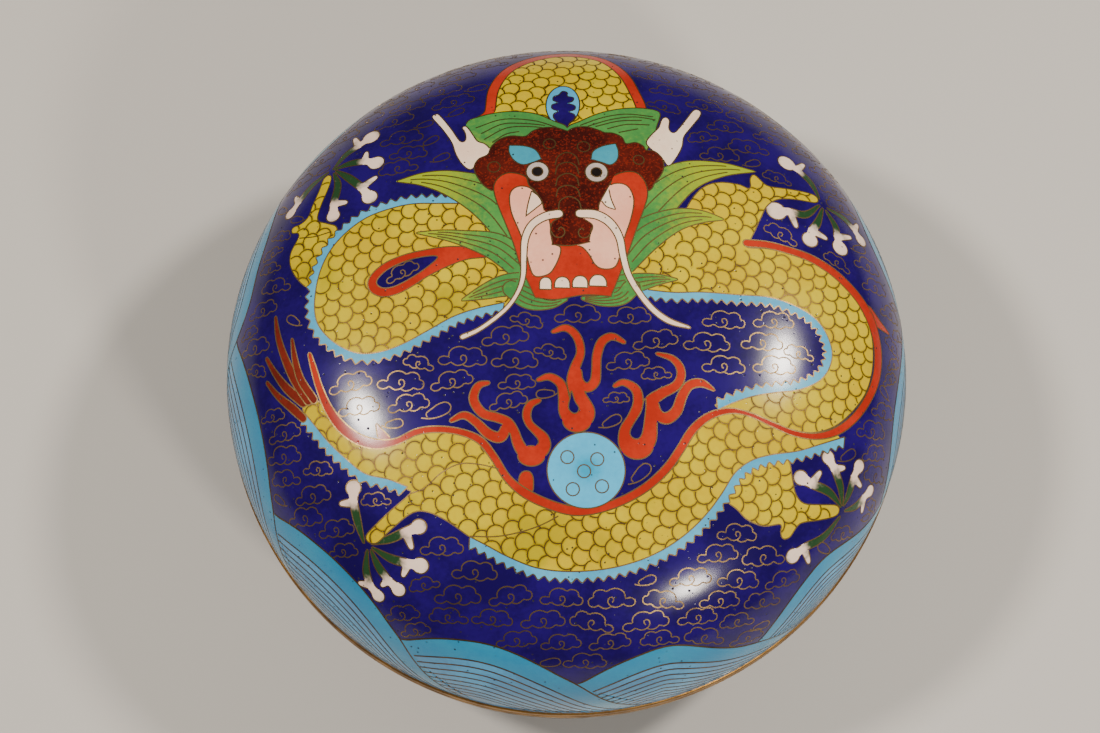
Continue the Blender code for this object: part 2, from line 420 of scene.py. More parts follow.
MOUTH = [
    (-15.3, 38.6), (-18.1, 37.4), (-19.4, 34.4), (-18.4, 30), (-16, 24), (-13.8, 18.4), (-12, 12.6), (-9.8, 8),
    (-8.1, 4.3), (-8.1, 4.3), (-3, 3.9), (4, 5.3), (10.5, 5.1), (10.5, 5.1), (11.9, 8.8), (13.3, 13), (15, 18),
    (16.8, 24), (18.4, 29), (19.4, 33.4), (18.7, 37), (16.6, 39.5), (13.6, 39.6), (10.6, 38), (9, 34), (0, 30),
    (-9.6, 34), (-11.4, 37.4),
]
PINKS = [
    [(-15.3, 31.4), (-14.6, 33.7), (-12.6, 34.7), (-10, 34), (-7.6, 31), (-6, 27.6), (-5, 24.6), (-4.6, 21),
     (-4, 18.7), (-2.2, 17.9), (-2.3, 15.6), (-3.5, 12.5), (-5, 10.5), (-8.3, 9.9), (-9.7, 12.6), (-10.8, 17),
     (-12.4, 21.6), (-14.6, 27)],
    [(6.9, 28.2), (7.4, 31.6), (9.6, 35.2), (12, 36.2), (14.4, 35.4), (15.8, 32.4), (15.8, 29.4), (15, 25.4),
     (13.8, 21.4), (12.6, 16), (11.4, 12.9), (8.6, 12.3), (6.6, 13.3), (5, 16), (3.4, 17.9), (1.6, 18.8),
     (4.6, 20.2), (4.4, 23), (2.2, 25.4), (4.4, 27.2)],
]
FANGS = [
    [(-9.8, 33.3), (-9.8, 33.3), (-8, 31.8), (-7, 29.9), (-7, 29.9), (-8.6, 28.4), (-11, 26.2), (-11, 26.2),
     (-10.6, 29.6)],
    [(9.5, 34.8), (9.5, 34.8), (8.2, 32.8), (7.7, 31.2), (7.7, 31.2), (9, 29.4), (11.4, 28.6), (11.4, 28.6),
     (10.2, 31.6)],
]
SNOUT = [
    (-11, 37), (-9.4, 34), (-7.2, 30.6), (-6.3, 27.6), (-4, 27), (-2.7, 25.9), (-4.4, 24.6), (-4.8, 22),
    (-4.3, 19.8), (-4.2, 18.5), (-4.2, 18.5), (0.2, 18.3), (4.9, 19.4), (4.9, 19.4), (5.1, 21.4), (5.7, 24),
    (3.4, 25.8), (2.4, 27.2), (6.8, 27.6), (7.2, 30), (8.6, 33.2), (10.3, 36.8), (9.4, 41), (-9.4, 41),
]
BROWS = [
    [(-16, 47), (-16, 47), (-12.2, 46.8), (-9.2, 45.6), (-7.6, 42.8), (-7.6, 42.8), (-9.6, 41.8), (-12.4, 41),
     (-14.8, 42.6), (-16, 45)],
    [(11.2, 48.2), (11.2, 48.2), (11.9, 46), (11.7, 43.2), (10, 41.5), (8, 42.1), (5, 43), (5, 43), (5.4, 45.4),
     (7.8, 47.2)],
]
TEETH = [(-5.6, 6.5, 1.45, 9.7), (-1.5, 7.0, 1.85, 9.9), (2.9, 7.2, 1.85, 10.3), (7.3, 7.7, 2.1, 10.7)]
WHISKERS = [
    [(-2.8, 27, 1.15), (-6.2, 26.2, 1.1), (-9.4, 23.8, 1.0), (-11, 20, 0.9), (-11.2, 15, 0.75), (-11.2, 10, 0.65),
     (-12.2, 6, 0.55), (-14.5, 2, 0.55), (-18, -1.5, 0.55), (-22, -4.5, 0.55), (-25.6, -6.2, 0.65)],
    [(2.4, 27.2, 1.15), (6.5, 27, 1.2), (10, 24.9, 1.1), (12.4, 21, 0.95), (13.4, 16, 0.85), (14.8, 11, 0.8),
     (17.5, 6.3, 0.75), (21, 2, 0.75), (25, -0.8, 0.75), (30, -2.2, 0.35)],
]
CREST_RING = ((-2.6, 60.6), 4.4, 7.2)
PEARL = (5.4, -38.8)
PEARL_HALF = (9.4, 9.2)
PEARL_RING_RADIUS = 1.6
PEARL_RINGS = [(-4.6, 3.0), (2.6, 2.7), (-0.5, -0.3), (-3.1, -4.7), (3.9, -3.8)]
FLAMES = [
    [(-6.8, -16.9, 0.5), (-4, -16, 0.9), (-1.2, -17.8, 1.1), (-0.4, -21, 1.3), (0.4, -25, 1.8), (3.2, -27.2, 2.2)],
    [(14, -6.7, 0.5), (11, -5.3, 0.9), (8.5, -6.8, 1.1), (7.4, -10.4, 1.1), (7.3, -14, 1.1), (7, -17, 1.2),
     (5.2, -18.6, 1.1), (3.4, -17, 0.9), (3, -14.5, 0.8)],
    [(-3.5, -4.5, 0.5), (-0.3, -3.4, 0.9), (2.4, -5.6, 1.0), (3.4, -9.6, 1.0), (2.2, -13.4, 1.2), (1.7, -17, 1.5),
     (3.2, -21, 1.9), (5, -24.6, 2.2), (3.8, -27, 2.4)],
    [(-27.6, -27.3, 0.5), (-24.5, -25.9, 0.9), (-21.5, -27.6, 1.0), (-18.5, -30.4, 1.2), (-15.5, -31.3, 1.3),
     (-14.2, -29, 1.2)],
    [(-18.8, -17.8, 0.5), (-21.3, -18.6, 0.9), (-22.3, -22, 1.1), (-20, -25.4, 1.1), (-16.6, -26.4, 1.1),
     (-13.8, -27.5, 1.1), (-12.2, -29.8, 1.1), (-11.2, -32.6, 1.3), (-9.6, -34.9, 1.5), (-7, -36, 1.8)],
    [(-6.4, -22, 0.6), (-8.5, -23.1, 0.9), (-9.3, -25.5, 1.0), (-8.6, -27.8, 0.9), (-6.9, -29.5, 1.0),
     (-5.1, -31.3, 1.3), (-4.9, -33.4, 1.6), (-6.7, -35.4, 1.8)],
    [(11.8, -17.9, 0.5), (14, -16.9, 0.8), (17, -18.6, 1.1), (17.6, -22, 1.2), (16.4, -25.6, 1.3), (14.8, -29, 1.6),
     (15.4, -32.4, 2.2), (17.8, -33.2, 2.3)],
    [(36.2, -17.8, 0.3), (33, -16.2, 1.0), (30, -17, 1.1), (28.2, -20, 1.2), (27, -23.5, 1.3), (24.6, -25.5, 1.4),
     (22.4, -24.5, 1.2), (21.6, -22, 1.0)],
    [(22, -9.3, 0.4), (26, -10.5, 0.8), (28, -13.5, 1.0), (27, -17, 1.1), (23, -19.5, 1.3), (20.4, -22, 1.6),
     (20.3, -27, 2.0), (19.8, -31, 2.3), (17.6, -33.2, 2.4)],
]
FLAME_BULBS = [(2.9, -26.8, 3.5, 2.9), (-7.9, -35.7, 3.3, 2.5), (17.5, -32.4, 4.0, 3.4)]
FLAME_SLOTS = [
    [(1.4, -19.4), (2.3, -22), (3.3, -23.5), (3.3, -24.4), (2.3, -25.1), (1.1, -24.4), (0.7, -23.2), (1.1, -21.2)],
    [(19.4, -20.6), (19.5, -23.2), (19.2, -26.3), (18.8, -29.2), (18, -30.7), (16.8, -30.8), (15.9, -30.1),
     (15.8, -28.8), (16.8, -26.8), (18.4, -24), (18.9, -21.6)],
]
# Each toe: points along its stem from the ankle, heel, bulb, bulb radius, spur tip
TOES = [
    [(-64, 45.5), (-61, 50), (-57.4, 52.2), (-54, 54.6), 2.6, (-59.4, 56)],
    [(-63.5, 45.3), (-59, 46), (-54.4, 45.6), (-51, 44.4), 2.3, (-54.4, 48.6)],
    [(-63, 44.6), (-58.6, 41), (-54.2, 36.8), (-51.6, 33.4), 2.2, (-50.6, 39.4)],
    [(-63.5, 44), (-61.4, 39), (-61.8, 33), (-61.4, 29.2), 2.0, (-58.2, 32.8)],
    [(-65.5, 45), (-70.6, 41.6), (-74, 37.2), (-76.2, 34.2), 1.9, (-75.8, 40)],
    [(66.4, 40), (64.4, 45), (60.6, 48.4), (57.5, 49.6), 2.7, (63.2, 51.4)],
    [(66, 37.6), (61.4, 33.2), (56.8, 33), (52.9, 32.4), 2.8, (58.2, 28.9)],
    [(67, 37), (64.8, 31.6), (62.8, 28.6), (62, 25.6), 2.3, (66.8, 27.3)],
    [(68, 36.6), (70.6, 32.2), (70.6, 28.8), (71.3, 25.6), 2.5, (75.4, 30.4)],
    [(68.6, 37.6), (74.4, 36.4), (78, 34), (80, 31.6), 2.2, (80, 37)],
    [(-49.6, -57), (-51, -52), (-52, -47), (-52, -43.4), 2.1, (-55.4, -47.2)],
    [(-47.4, -57.2), (-42.6, -56), (-38.4, -54.2), (-35, -53), 2.0, (-37, -58)],
    [(-47.4, -58.2), (-42.6, -60.8), (-38, -62), (-34.8, -62.5), 2.2, (-39.4, -65)],
    [(-47.8, -58.8), (-46, -63), (-43.6, -66.4), (-41, -68.8), 2.0, (-45.4, -67.8)],
    [(-48.8, -58.8), (-49.6, -64), (-49, -68), (-47, -70.8), 1.9, (-52, -67.6)],
    [(72.8, -44), (68, -40.6), (62.4, -39), (59.2, -37.7), 2.0, (64.6, -36)],
    [(73, -43.6), (71.6, -39), (69, -34.6), (66.8, -31.9), 1.9, (72, -34)],
    [(73.6, -43.6), (75, -40), (75.8, -36), (77.4, -33), 2.0, (79, -38)],
    [(74.4, -45), (78.6, -43.6), (81.6, -41), (84.1, -39), 1.9, (82.3, -44.8)],
    [(73, -46.6), (68.4, -52.2), (62.4, -55.2), (59.4, -57.5), 2.2, (65, -59)],
]
# Where the scales' flow starts and runs to: the tailward direction is along each line
FLOWS = {
    "right": [(16, 14), (40, 14), (62, 12), (72, 2), (73, -8), (66, -19), (50, -21), (38, -22)],
    "lower": [(66, -28), (50, -29), (36, -34), (28, -44), (14, -53), (0, -56), (-14, -50), (-26, -40), (-40, -37),
              (-54, -33), (-64, -23)],
    "left": [(-14, 22), (-30, 25), (-46, 22), (-57, 12), (-57, 0), (-46, -4), (-30, 4), (-15, 9)],
    "arch": [(-12, 54), (-13, 68), (-2, 77), (9, 68), (11, 56)],
    "upper_left": [(-66, 12), (-68, 22), (-67, 30), (-65, 44)],
    "upper_right": [(30, 22), (40, 32), (50, 38), (66, 39.5)],
    "lower_right": [(44, -42), (54, -46), (64, -46), (72, -45)],
}
HEAD_LINES = [
    [(-4.1, 41), (-3.4, 43.6), (-1.2, 44.9), (1.1, 43.8), (2, 41.2)],
    [(-4, 38.2), (-3.4, 40.8), (-1.2, 41.9), (1.1, 41), (2, 38.4)],
    [(-3.8, 34.8), (-3.2, 37.4), (-0.9, 38.6), (1.3, 37.6), (2.1, 35)],
    [(-3.6, 31.8), (-3, 34.2), (-0.6, 35.1), (1.6, 34.2), (2.4, 31.9)],
    [(-2.9, 28.2), (-2.6, 30.6), (-0.4, 31.9), (2, 30.8), (2.8, 28.4)],
    [(-2.8, 22.4), (-2.4, 23.4), (-1.5, 22.9), (-1.2, 21.6), (-2.2, 20.5), (-3.8, 20.8), (-4.6, 22.2)],
    [(3.5, 22.6), (2.9, 23.3), (2.2, 22.3), (2.5, 20.9), (3.9, 20.5), (5.1, 21.5), (5.4, 23.4)],
]
HEAD_RINGS = [((-5.7, 47.5), 1.55), ((3, 46.8), 1.6), ((-19.6, 40.4), 1.6), ((17.1, 43.5), 1.4)]
THIGH_LINES = [
    [(-15.6, -39), (-20, -38), (-25, -37.8), (-29.6, -40), (-33.6, -43.6), (-37.2, -45)],
    [(-22.4, -55.2), (-16, -55.2), (-10, -54), (-5, -52.2), (-1, -50)],
    [(-71, 24.4), (-66, 23.8), (-61.4, 24.4)],
]
EYES = [(-8.5, 39), (6.4, 39.2)]
EYE_RADIUS, PUPIL_RADIUS = 2.9, 1.4
CLOUD = [
    (0.1, -0.9), (-0.4, -0.4), (-0.3, 0.4), (0.5, 0.6), (1.15, 0.0), (1.1, -1.1), (0.3, -1.9), (-0.9, -2.3),
    (-2.0, -2.0), (-2.8, -1.5), (-3.7, -2.2), (-5.1, -2.3), (-6.1, -1.5), (-5.7, -0.4), (-4.5, 0.0), (-3.4, -0.2),
    (-3.5, 1.0), (-2.6, 2.2), (-1.0, 2.8), (0.5, 2.6), (1.4, 2.1), (2.3, 2.7), (3.8, 2.7), (4.9, 1.9), (4.9, 0.9),
    (5.9, 0.8), (6.4, -0.2), (6.0, -1.3), (4.8, -1.7), (3.8, -1.3), (3.0, -2.0), (1.6, -2.4), (0.3, -1.9),
]
LOOP = [
    (-3.2, -1.3), (-1.2, -1.5), (0.9, -1.1), (2.6, -0.2), (2.9, 1.0), (1.9, 1.8), (0.3, 1.4), (-0.9, 0.6),
    (-2.2, -0.4), (-1.9, -1.2),
]
# Clouds and loops that are placed one by one, each as (u, v, turn, size, mirrored)
SLIT_CLOUD = (-41.6, 11.2, 0.42, 0.72, False)
PEARL_CLOUD = (12.2, -20.9, 0.0, 0.52, False)
PEARL_LOOPS = [(18.3, -39.3, 0.38, 1.1, False), (11.0, -26.8, 0.1, 0.95, False), (-4.6, -20.2, 0.5, 0.85, True)]
PEARL_LOOP_ROOM = 6.5
CLOUD_PITCH = (12.8, 5.8)
CLOUD_NUDGES = ((0, 0), (2, 0), (-2, 0), (4, 0), (-4, 0), (0, 1.3), (0, -1.3), (3, 1.3), (-3, -1.3))
# One wave of the border, WAVE_WIDTH degrees wide and running on under the next one: degrees past its left
# foot, and millimetres up from the rim
WAVE_WIDTH = 30
WAVE = [
    (0, 23.2), (3, 27.3), (7, 30.7), (12, 32.8), (16, 33), (20, 31.8), (24, 29.2), (27, 26.2), (30, 22.6),
    (33, 16.4), (36, 9.4), (39, 4), (42, 0),
]
WAVE_STRIPES = [6.0, 8.5, 11.0, 13.5, 16.0, 18.5, 21.0, 23.5, 26.0]
# The share of WAVE's height and the notch's height in millimetres, for every wave of the bowl
BOWL_WAVE = (0.7, 16.0)
# Each wave of the lid: its start in degrees, its share of WAVE's height, the height of the notch before it
LID_WAVES = [
    (-117.0, 1.0, 23.2), (-86.8, 0.94, 22.2), (-55.8, 0.8, 15.6), (-23.8, 0.75, 12.0), (7.5, 0.79, 16.0),
    (37.0, 0.74, 16.0), (66.0, 0.66, 15.0), (94.5, 0.64, 14.5), (122.5, 0.78, 15.0), (151.0, 0.89, 19.0),
    (180.4, 1.0, 24.5), (212.2, 0.98, 23.7),
]


def to_plan(degrees, distance):
    angle = np.radians(degrees)
    return np.stack([distance * np.cos(angle), distance * np.sin(angle)], 1)


def wave_edge(reach, width, share, notch, next_notch):
    """(degrees, height) along one wave, between two notches of given heights that are width degrees apart."""
    spread = np.array([(math.radians(d * width / WAVE_WIDTH) * reach, h) for d, h in WAVE])
    line = smooth(spread, step=0.6)
    degrees, up = np.degrees(line[:, 0] / reach), np.clip(line[:, 1], 0, None) * share
    rising = np.clip(1 - degrees / 14, 0, 1) ** 2
    falling = np.clip((degrees * WAVE_WIDTH / width - 14) / 16, 0, 1)
    falling = falling * falling * (3 - 2 * falling)
    first = notch / (share * WAVE[0][1])
    last = next_notch / (share * dict(WAVE)[WAVE_WIDTH])
    up = up * (1 + (first - 1) * rising) * (1 + (last - 1) * falling)
    return degrees, evened(up[:, None], 7)[:, 0]


def evened(line, reach):
    """The line with its bends averaged out over a few points to either side."""
    padded = np.vstack([np.repeat(line[:1], reach, 0), line, np.repeat(line[-1:], reach, 0)])
    kernel = np.full(2 * reach + 1, 1 / (2 * reach + 1))
    return np.stack([np.convolve(column, kernel, "valid") for column in padded.T], 1)


def wave_border(reach, waves):
    """(cells, wires of each wave) of a border that runs round a rim at distance reach."""
    edges, widths = [], []
    for (start, share, notch), following in zip(waves, waves[1:] + waves[:1]):
        widths.append((following[0] - start) % 360.0)
        edges.append(wave_edge(reach, widths[-1], share, notch, following[2]))
    cells, wires = [], []
    for k, (start, share, _) in enumerate(waves):
        degrees, up = edges[k]
        edge = to_plan(start + degrees, reach - up)
        degrees_before, up_before = edges[k - 1]
        tail = degrees_before >= widths[k - 1]
        degrees_before = degrees_before[tail] - widths[k - 1]
        before = to_plan(start + degrees_before, reach - up_before[tail])
        rim = np.arange(degrees_before[-1], degrees[-1], 0.75)[::-1]
        outline = np.vstack([edge, to_plan(start + rim, np.full(len(rim), reach)), before[::-1]])
        stripes = [evened(edge - normals_of(edge) * gap * share, 16) for gap in WAVE_STRIPES]
        heart = np.vstack([stripes[0], to_plan(np.array([start + 14.0]), np.array([reach + 12.0]))])
        cells.append(Cell("wave_band", outline, wired=False))
        cells.append(Cell("wave_stripe", heart, within=outline, wired=False))
        lines = [edge]
        for stripe in stripes:
            good = winding(stripe, outline) & (np.hypot(*stripe.T) < reach - 0.2)
            lines += runs_where(stripe, good, 5)
        wires.append(lines)
    return cells, wires


def toe_cells():
    """Each toe's stem, spur, neck and bulb, as one group without wire between them."""
    cells = []
    for k, (ankle, middle, heel, bulb, radius, spur) in enumerate(TOES):
        near = (heel[0], heel[1], 1.1)
        part_way = (0.5 * (heel[0] + spur[0]), 0.5 * (heel[1] + spur[1]), 1.0)
        neck = (0.5 * (heel[0] + bulb[0]), 0.5 * (heel[1] + bulb[1]), 1.25)
        shapes = [strand([(*ankle, 0.3), (*middle, 1.0), near]), strand([near, part_way, (*spur, 0.7)]),
                  strand([near, neck, (*bulb, 0.9 * radius)]), ellipse(bulb, radius, 0.94 * radius)]
        cells += [Cell("claw", shape, group=k) for shape in shapes]
    return cells


def tooth(middle, base, half, top):
    """The outline of a tooth with a flat base and a rounded top. half is half its width."""
    quarter = [(-1.0, base), (-1.0, base), (-1.0, top - 0.8 * half), (-0.6, top - 0.15 * half), (0.0, top)]
    right = [(-share, up) for share, up in quarter[-2::-1]]
    return smooth([(middle + half * share, up) for share, up in quarter + right], closed=True, step=0.3)


def lid_cells():
    """Every area of enamel on the lid, from the ground up."""
    cells = wave_border(LID_DOME.reach, LID_WAVES)[0] + toe_cells()
    cells += [Cell("scale", smooth(leg, True)) for leg in (UPPER_LEFT_LEG, LOWER_RIGHT_LEG)]
    cells.append(Cell("red", smooth(ARCH, True)))
    cells.append(Cell("scale", smooth(ARCH_FIELD, True)))
    cells.append(Cell("fin", ellipse(*CREST_RING)))
    cells.append(Cell("cobalt", smooth(CREST, True, 0.35)))
    cells.append(Cell("scale", smooth(LEFT_COIL, True)))
    cells.append(Cell("red", smooth(COIL_SLIT, True)))
    cells.append(Cell("cobalt", smooth(SLIT_GROUND, True)))
    coil = smooth(RIGHT_COIL, True)
    cells.append(Cell("scale", coil))
    cells.append(Cell("scale", smooth(UPPER_RIGHT_LEG, True), merged=coil))
    cells.append(Cell("scale", smooth(LOWER_COIL, True)))
    cells += [Cell("fin", serrated(path, side)) for side, path in BELLY_FINS]
    cells += [Cell("tail", strand(line)) for line in TAIL_STRANDS]
    cells += [Cell("red", strand(line)) for line in SPURS]
    cells.append(Cell("red", strand(SPINE)))
    cells += [Cell("red", strand(line), group="flame %d" % (k // 3)) for k, line in enumerate(FLAMES)]
    cells += [Cell("red", ellipse((u, v), across, up), group="flame %d" % k)
              for k, (u, v, across, up) in enumerate(FLAME_BULBS)]
    cells += [Cell("cobalt", smooth(slot, True, 0.4)) for slot in FLAME_SLOTS]
    cells.append(Cell("pearl", ellipse(PEARL, *PEARL_HALF)))
    cells += [Cell("mane", smooth(tuft, True)) for tuft in MANE]
    cells += [Cell("mane", strand(leaf)) for leaf in MANE_LEAVES]
    cells += [Cell("bone", smooth(horn, True)) for horn in HORNS]
    cells.append(Cell("head", smooth(HEAD, True)))
    cells.append(Cell("red", smooth(MOUTH, True)))
    cells += [Cell("pink", smooth(cheek, True)) for cheek in PINKS]
    cells += [Cell("bone", smooth(fang, True, 0.4)) for fang in FANGS]
    cells.append(Cell("head", smooth(SNOUT, True), wired=False))
    cells += [Cell("brow", smooth(brow, True)) for brow in BROWS]
    cells += [Cell("eye", ellipse(eye, EYE_RADIUS, EYE_RADIUS)) for eye in EYES]
    cells += [Cell("pupil", ellipse(eye, PUPIL_RADIUS, PUPIL_RADIUS, 0.4)) for eye in EYES]
    cells += [Cell("bone", tooth(*t)) for t in TEETH]
    cells += [Cell("bone", strand(whisker)) for whisker in WHISKERS]
    return cells


def covered(points, cells):
    """True for each point inside any of the cells."""
    found = np.zeros(len(points), bool)
    for cell in cells:
        found |= cell.holds(points)
    return found


def cell_borders(cells):
    """The wire round each cell, where no later cell covers it."""
    lines = []
    for k, cell in enumerate(cells):
        if not cell.wired:
            continue
        closed = np.vstack([cell.outline, cell.outline[:1]])
        line = even_steps(closed, 0.55) if len(closed) > 12 else closed
        kept = ~covered(line, cells[k + 1:])
        if cell.merged is not None:
            kept &= ~winding(line, cell.merged)
        if cell.group is not None:
            kept &= ~covered(line, [other for other in cells[:k] if other.group == cell.group])
        lines += runs_where(line, kept)
    return lines


def mane_strands(cells):
    """Hair wires along each leaf of the mane."""
    lines = []
    first = max(k for k, cell in enumerate(cells) if cell.finish == "mane") - len(MANE_LEAVES) + 1
    for k, leaf in enumerate(MANE_LEAVES):
        line = smooth(leaf, step=0.6)
        side = normals_of(line)
        for share in (-0.5, 0.0, 0.5):
            hair = line[:, :2] + side * line[:, 2:3] * share
            hair = hair[int(len(hair) * 0.06): int(len(hair) * (0.92 - 0.16 * abs(share)))]
            lines += runs_where(hair, ~covered(hair, cells[first + k + 1:]))
    for hair in MANE_TOP_HAIRS:
        line = smooth(hair)
        lines += runs_where(line, ~covered(line, cells[first:]))
    return lines


def scale_lines(cells, radius, spacing, seed):
    """The wires of overlapping scales. Each scale's head side is tucked under its neighbours."""
    rng = random.Random(seed)
    scale_cells = [k for k, cell in enumerate(cells) if cell.finish == "scale"]
    # In the order in which lid_cells lays these cells
    flow_names = ("upper_left", "lower_right", "arch", "left", "right", "upper_right", "lower")
    lines = []
    for k, name in zip(scale_cells, flow_names):
        cell = cells[k]
        flow = smooth(FLOWS[name], step=1.0)
        low, high = cell.outline.min(0) - 2, cell.outline.max(0) + 2
        tilt = rng.uniform(0.2, 0.8)
        spots = []
        reach = int(max(high - low) / spacing) + 3
        middle = 0.5 * (low + high)
        for i in range(-reach, reach + 1):
            for j in range(-reach, reach + 1):
                a = (i + 0.5 * (j % 2)) * spacing + rng.uniform(-0.35, 0.35)
                b = j * 0.866 * spacing + rng.uniform(-0.35, 0.35)
                spots.append((middle[0] + a * math.cos(tilt) - b * math.sin(tilt),
                              middle[1] + a * math.sin(tilt) + b * math.cos(tilt)))
        spots = np.array(spots)
        inside = winding(spots, cell.outline)
        edge_gap = np.array([np.hypot(*(cell.outline - s).T).min() for s in spots])
        spots = spots[inside | (edge_gap < 0.6 * radius)]
        nearest = np.array([int(np.argmin(np.hypot(*(flow - s).T))) for s in spots])
        ahead = np.gradient(flow, axis=0)
        step = np.radians(np.arange(-142, 143, 12.0))
        way = np.arctan2(ahead[nearest, 1], ahead[nearest, 0])
        angle = way[:, None] + step
        arcs = spots[:, None] + radius * np.stack([np.cos(angle), np.sin(angle)], 2)
        flat = arcs.reshape(-1, 2)
        kept = (winding(flat, cell.outline) & ~covered(flat, cells[k + 1:])).reshape(len(arcs), -1)
        for i, (s, arc, good) in enumerate(zip(spots, arcs, kept)):
            gap = spots - s
            behind = gap @ (math.cos(way[i]), math.sin(way[i]))
            tie = (np.abs(behind) < 0.15) & (np.arange(len(spots)) < i)
            heads = spots[(np.hypot(*gap.T) < 2.2 * radius) & ((behind < -0.15) | tie)]
            for head in heads:
                good &= np.hypot(*(arc - head).T) > radius
            lines += runs_where(arc, good, 4)
    return lines


def cloud_places(cells, reach_low, reach_high, seed):
    """(cloud spots, loop spots) on open ground, each as (u, v, turn, size, mirrored)."""
    rng = random.Random(seed)
    clouds, loops = [], []
    step = 0.4
    along = np.arange(-reach_high, reach_high + step, step)
    u, v = np.meshgrid(along, along)
    spots = np.stack([u.ravel(), v.ravel()], 1)
    far = np.hypot(*spots.T)
    taken = (covered(spots, cells) | (far > reach_high) | (far < reach_low)).reshape(u.shape)

    def disc(across, up):
        """Points spread over an ellipse."""
        rings = [ellipse((0, 0), across * share, up * share, 0.7) for share in (0.25, 0.5, 0.75, 1.0)]
        return np.vstack(rings)

    def under(place, shape):
        """The grid spots below a shape that stands at the place."""
        (u, v, turn, size, _) = place
        spin = np.array([[math.cos(turn), math.sin(turn)], [-math.sin(turn), math.cos(turn)]])
        index = np.round(((shape * size) @ spin + (u, v) + reach_high) / step).astype(int)
        return index.clip(0, len(along) - 1).T

    def settle(place, shape, blocked, found):
        """Notes the place if the shape fits there, and blocks the ground under it."""
        column, row = under(place, shape)
        if taken[row, column].any():
            return False
        column, row = under(place, blocked)
        taken[row, column] = True
        found.append(place)
        return True

    hull, block = disc(6.7, 2.9), disc(6.5, 2.8)
    small = disc(3.3, 1.9)
    rows = int(reach_high / CLOUD_PITCH[1]) + 1
    for row in range(-rows, rows + 1):
        for column in range(-10, 11):
            for nudge in CLOUD_NUDGES:
                u = (column + 0.5 * (row % 2)) * CLOUD_PITCH[0] + nudge[0] + rng.uniform(-0.3, 0.3)
                v = row * CLOUD_PITCH[1] + nudge[1] + rng.uniform(-0.3, 0.3)
                place = (u, v, rng.uniform(-0.12, 0.16), rng.uniform(0.82, 0.96), rng.random() < 0.3)
                if settle(place, hull, block, clouds):
                    break
    for row in range(-4 * rows, 4 * rows + 1):
        for column in range(-60, 61):
            turn, size, mirrored = rng.uniform(-0.4, 0.4), rng.uniform(0.6, 0.78), rng.random() < 0.5
            settle((column * 2.0, row * 1.6, turn, size, mirrored), hull, block, clouds)
    for row in range(-2 * rows, 2 * rows + 1):
        for column in range(-48, 49):
            u = column * 2.6 + rng.uniform(-0.5, 0.5)
            v = row * 3.1 + rng.uniform(-0.5, 0.5)
            place = (u, v, rng.uniform(-0.3, 0.2), rng.choice((1.2, 1.0, 0.85)), rng.random() < 0.3)
            settle(place, small, small, loops)
    return clouds, loops


# Meshes


def linked(name, mesh):
    obj = bpy.data.objects.new(name, mesh)
    bpy.context.scene.collection.objects.link(obj)
    return obj


def turned(name, section, steps, material):
    """A closed half section, (r, z) in millimetres and outer side first, turned into a solid."""
    section = np.array(section, float) * MM
    on_axis = section[:, 0] < 1e-7
    angle = np.arange(steps) * 2 * math.pi / steps
    rows, points = [], []
    for (r, z), pole in zip(section, on_axis):
        if pole:
            rows.append([len(points)] * steps)
            points.append((0.0, 0.0, z))
        else:
            rows.append(list(range(len(points), len(points) + steps)))
            points += [(r * math.cos(a), r * math.sin(a), z) for a in angle]
    faces = []
    closing = [] if on_axis[0] and on_axis[-1] else [(rows[-1], rows[0])]
    for top, low in list(zip(rows, rows[1:])) + closing:
        for i in range(steps):
            j = (i + 1) % steps
            corners = []
            for index in (top[i], low[i], low[j], top[j]):
                if index not in corners:
                    corners.append(index)
            if len(corners) > 2:
                faces.append(corners)
    mesh = bpy.data.meshes.new(name)
    mesh.from_pydata(points, [], faces)
    mesh.materials.append(material)
    point_outwards(mesh)
    mesh.shade_smooth()
    mesh.set_sharp_from_angle(angle=math.radians(35))
    return linked(name, mesh)


def point_outwards(mesh):
    """Turns the faces round if the closed mesh's volume comes out negative."""
    mesh.calc_loop_triangles()
    points = np.empty(len(mesh.vertices) * 3)
    mesh.vertices.foreach_get("co", points)
    triangles = np.empty(len(mesh.loop_triangles) * 3, int)
    mesh.loop_triangles.foreach_get("vertices", triangles)
    corners = points.reshape(-1, 3)[triangles.reshape(-1, 3)]
    if np.einsum("ij,ij->i", corners[:, 0], np.cross(corners[:, 1], corners[:, 2])).sum() < 0:
        mesh.flip_normals()


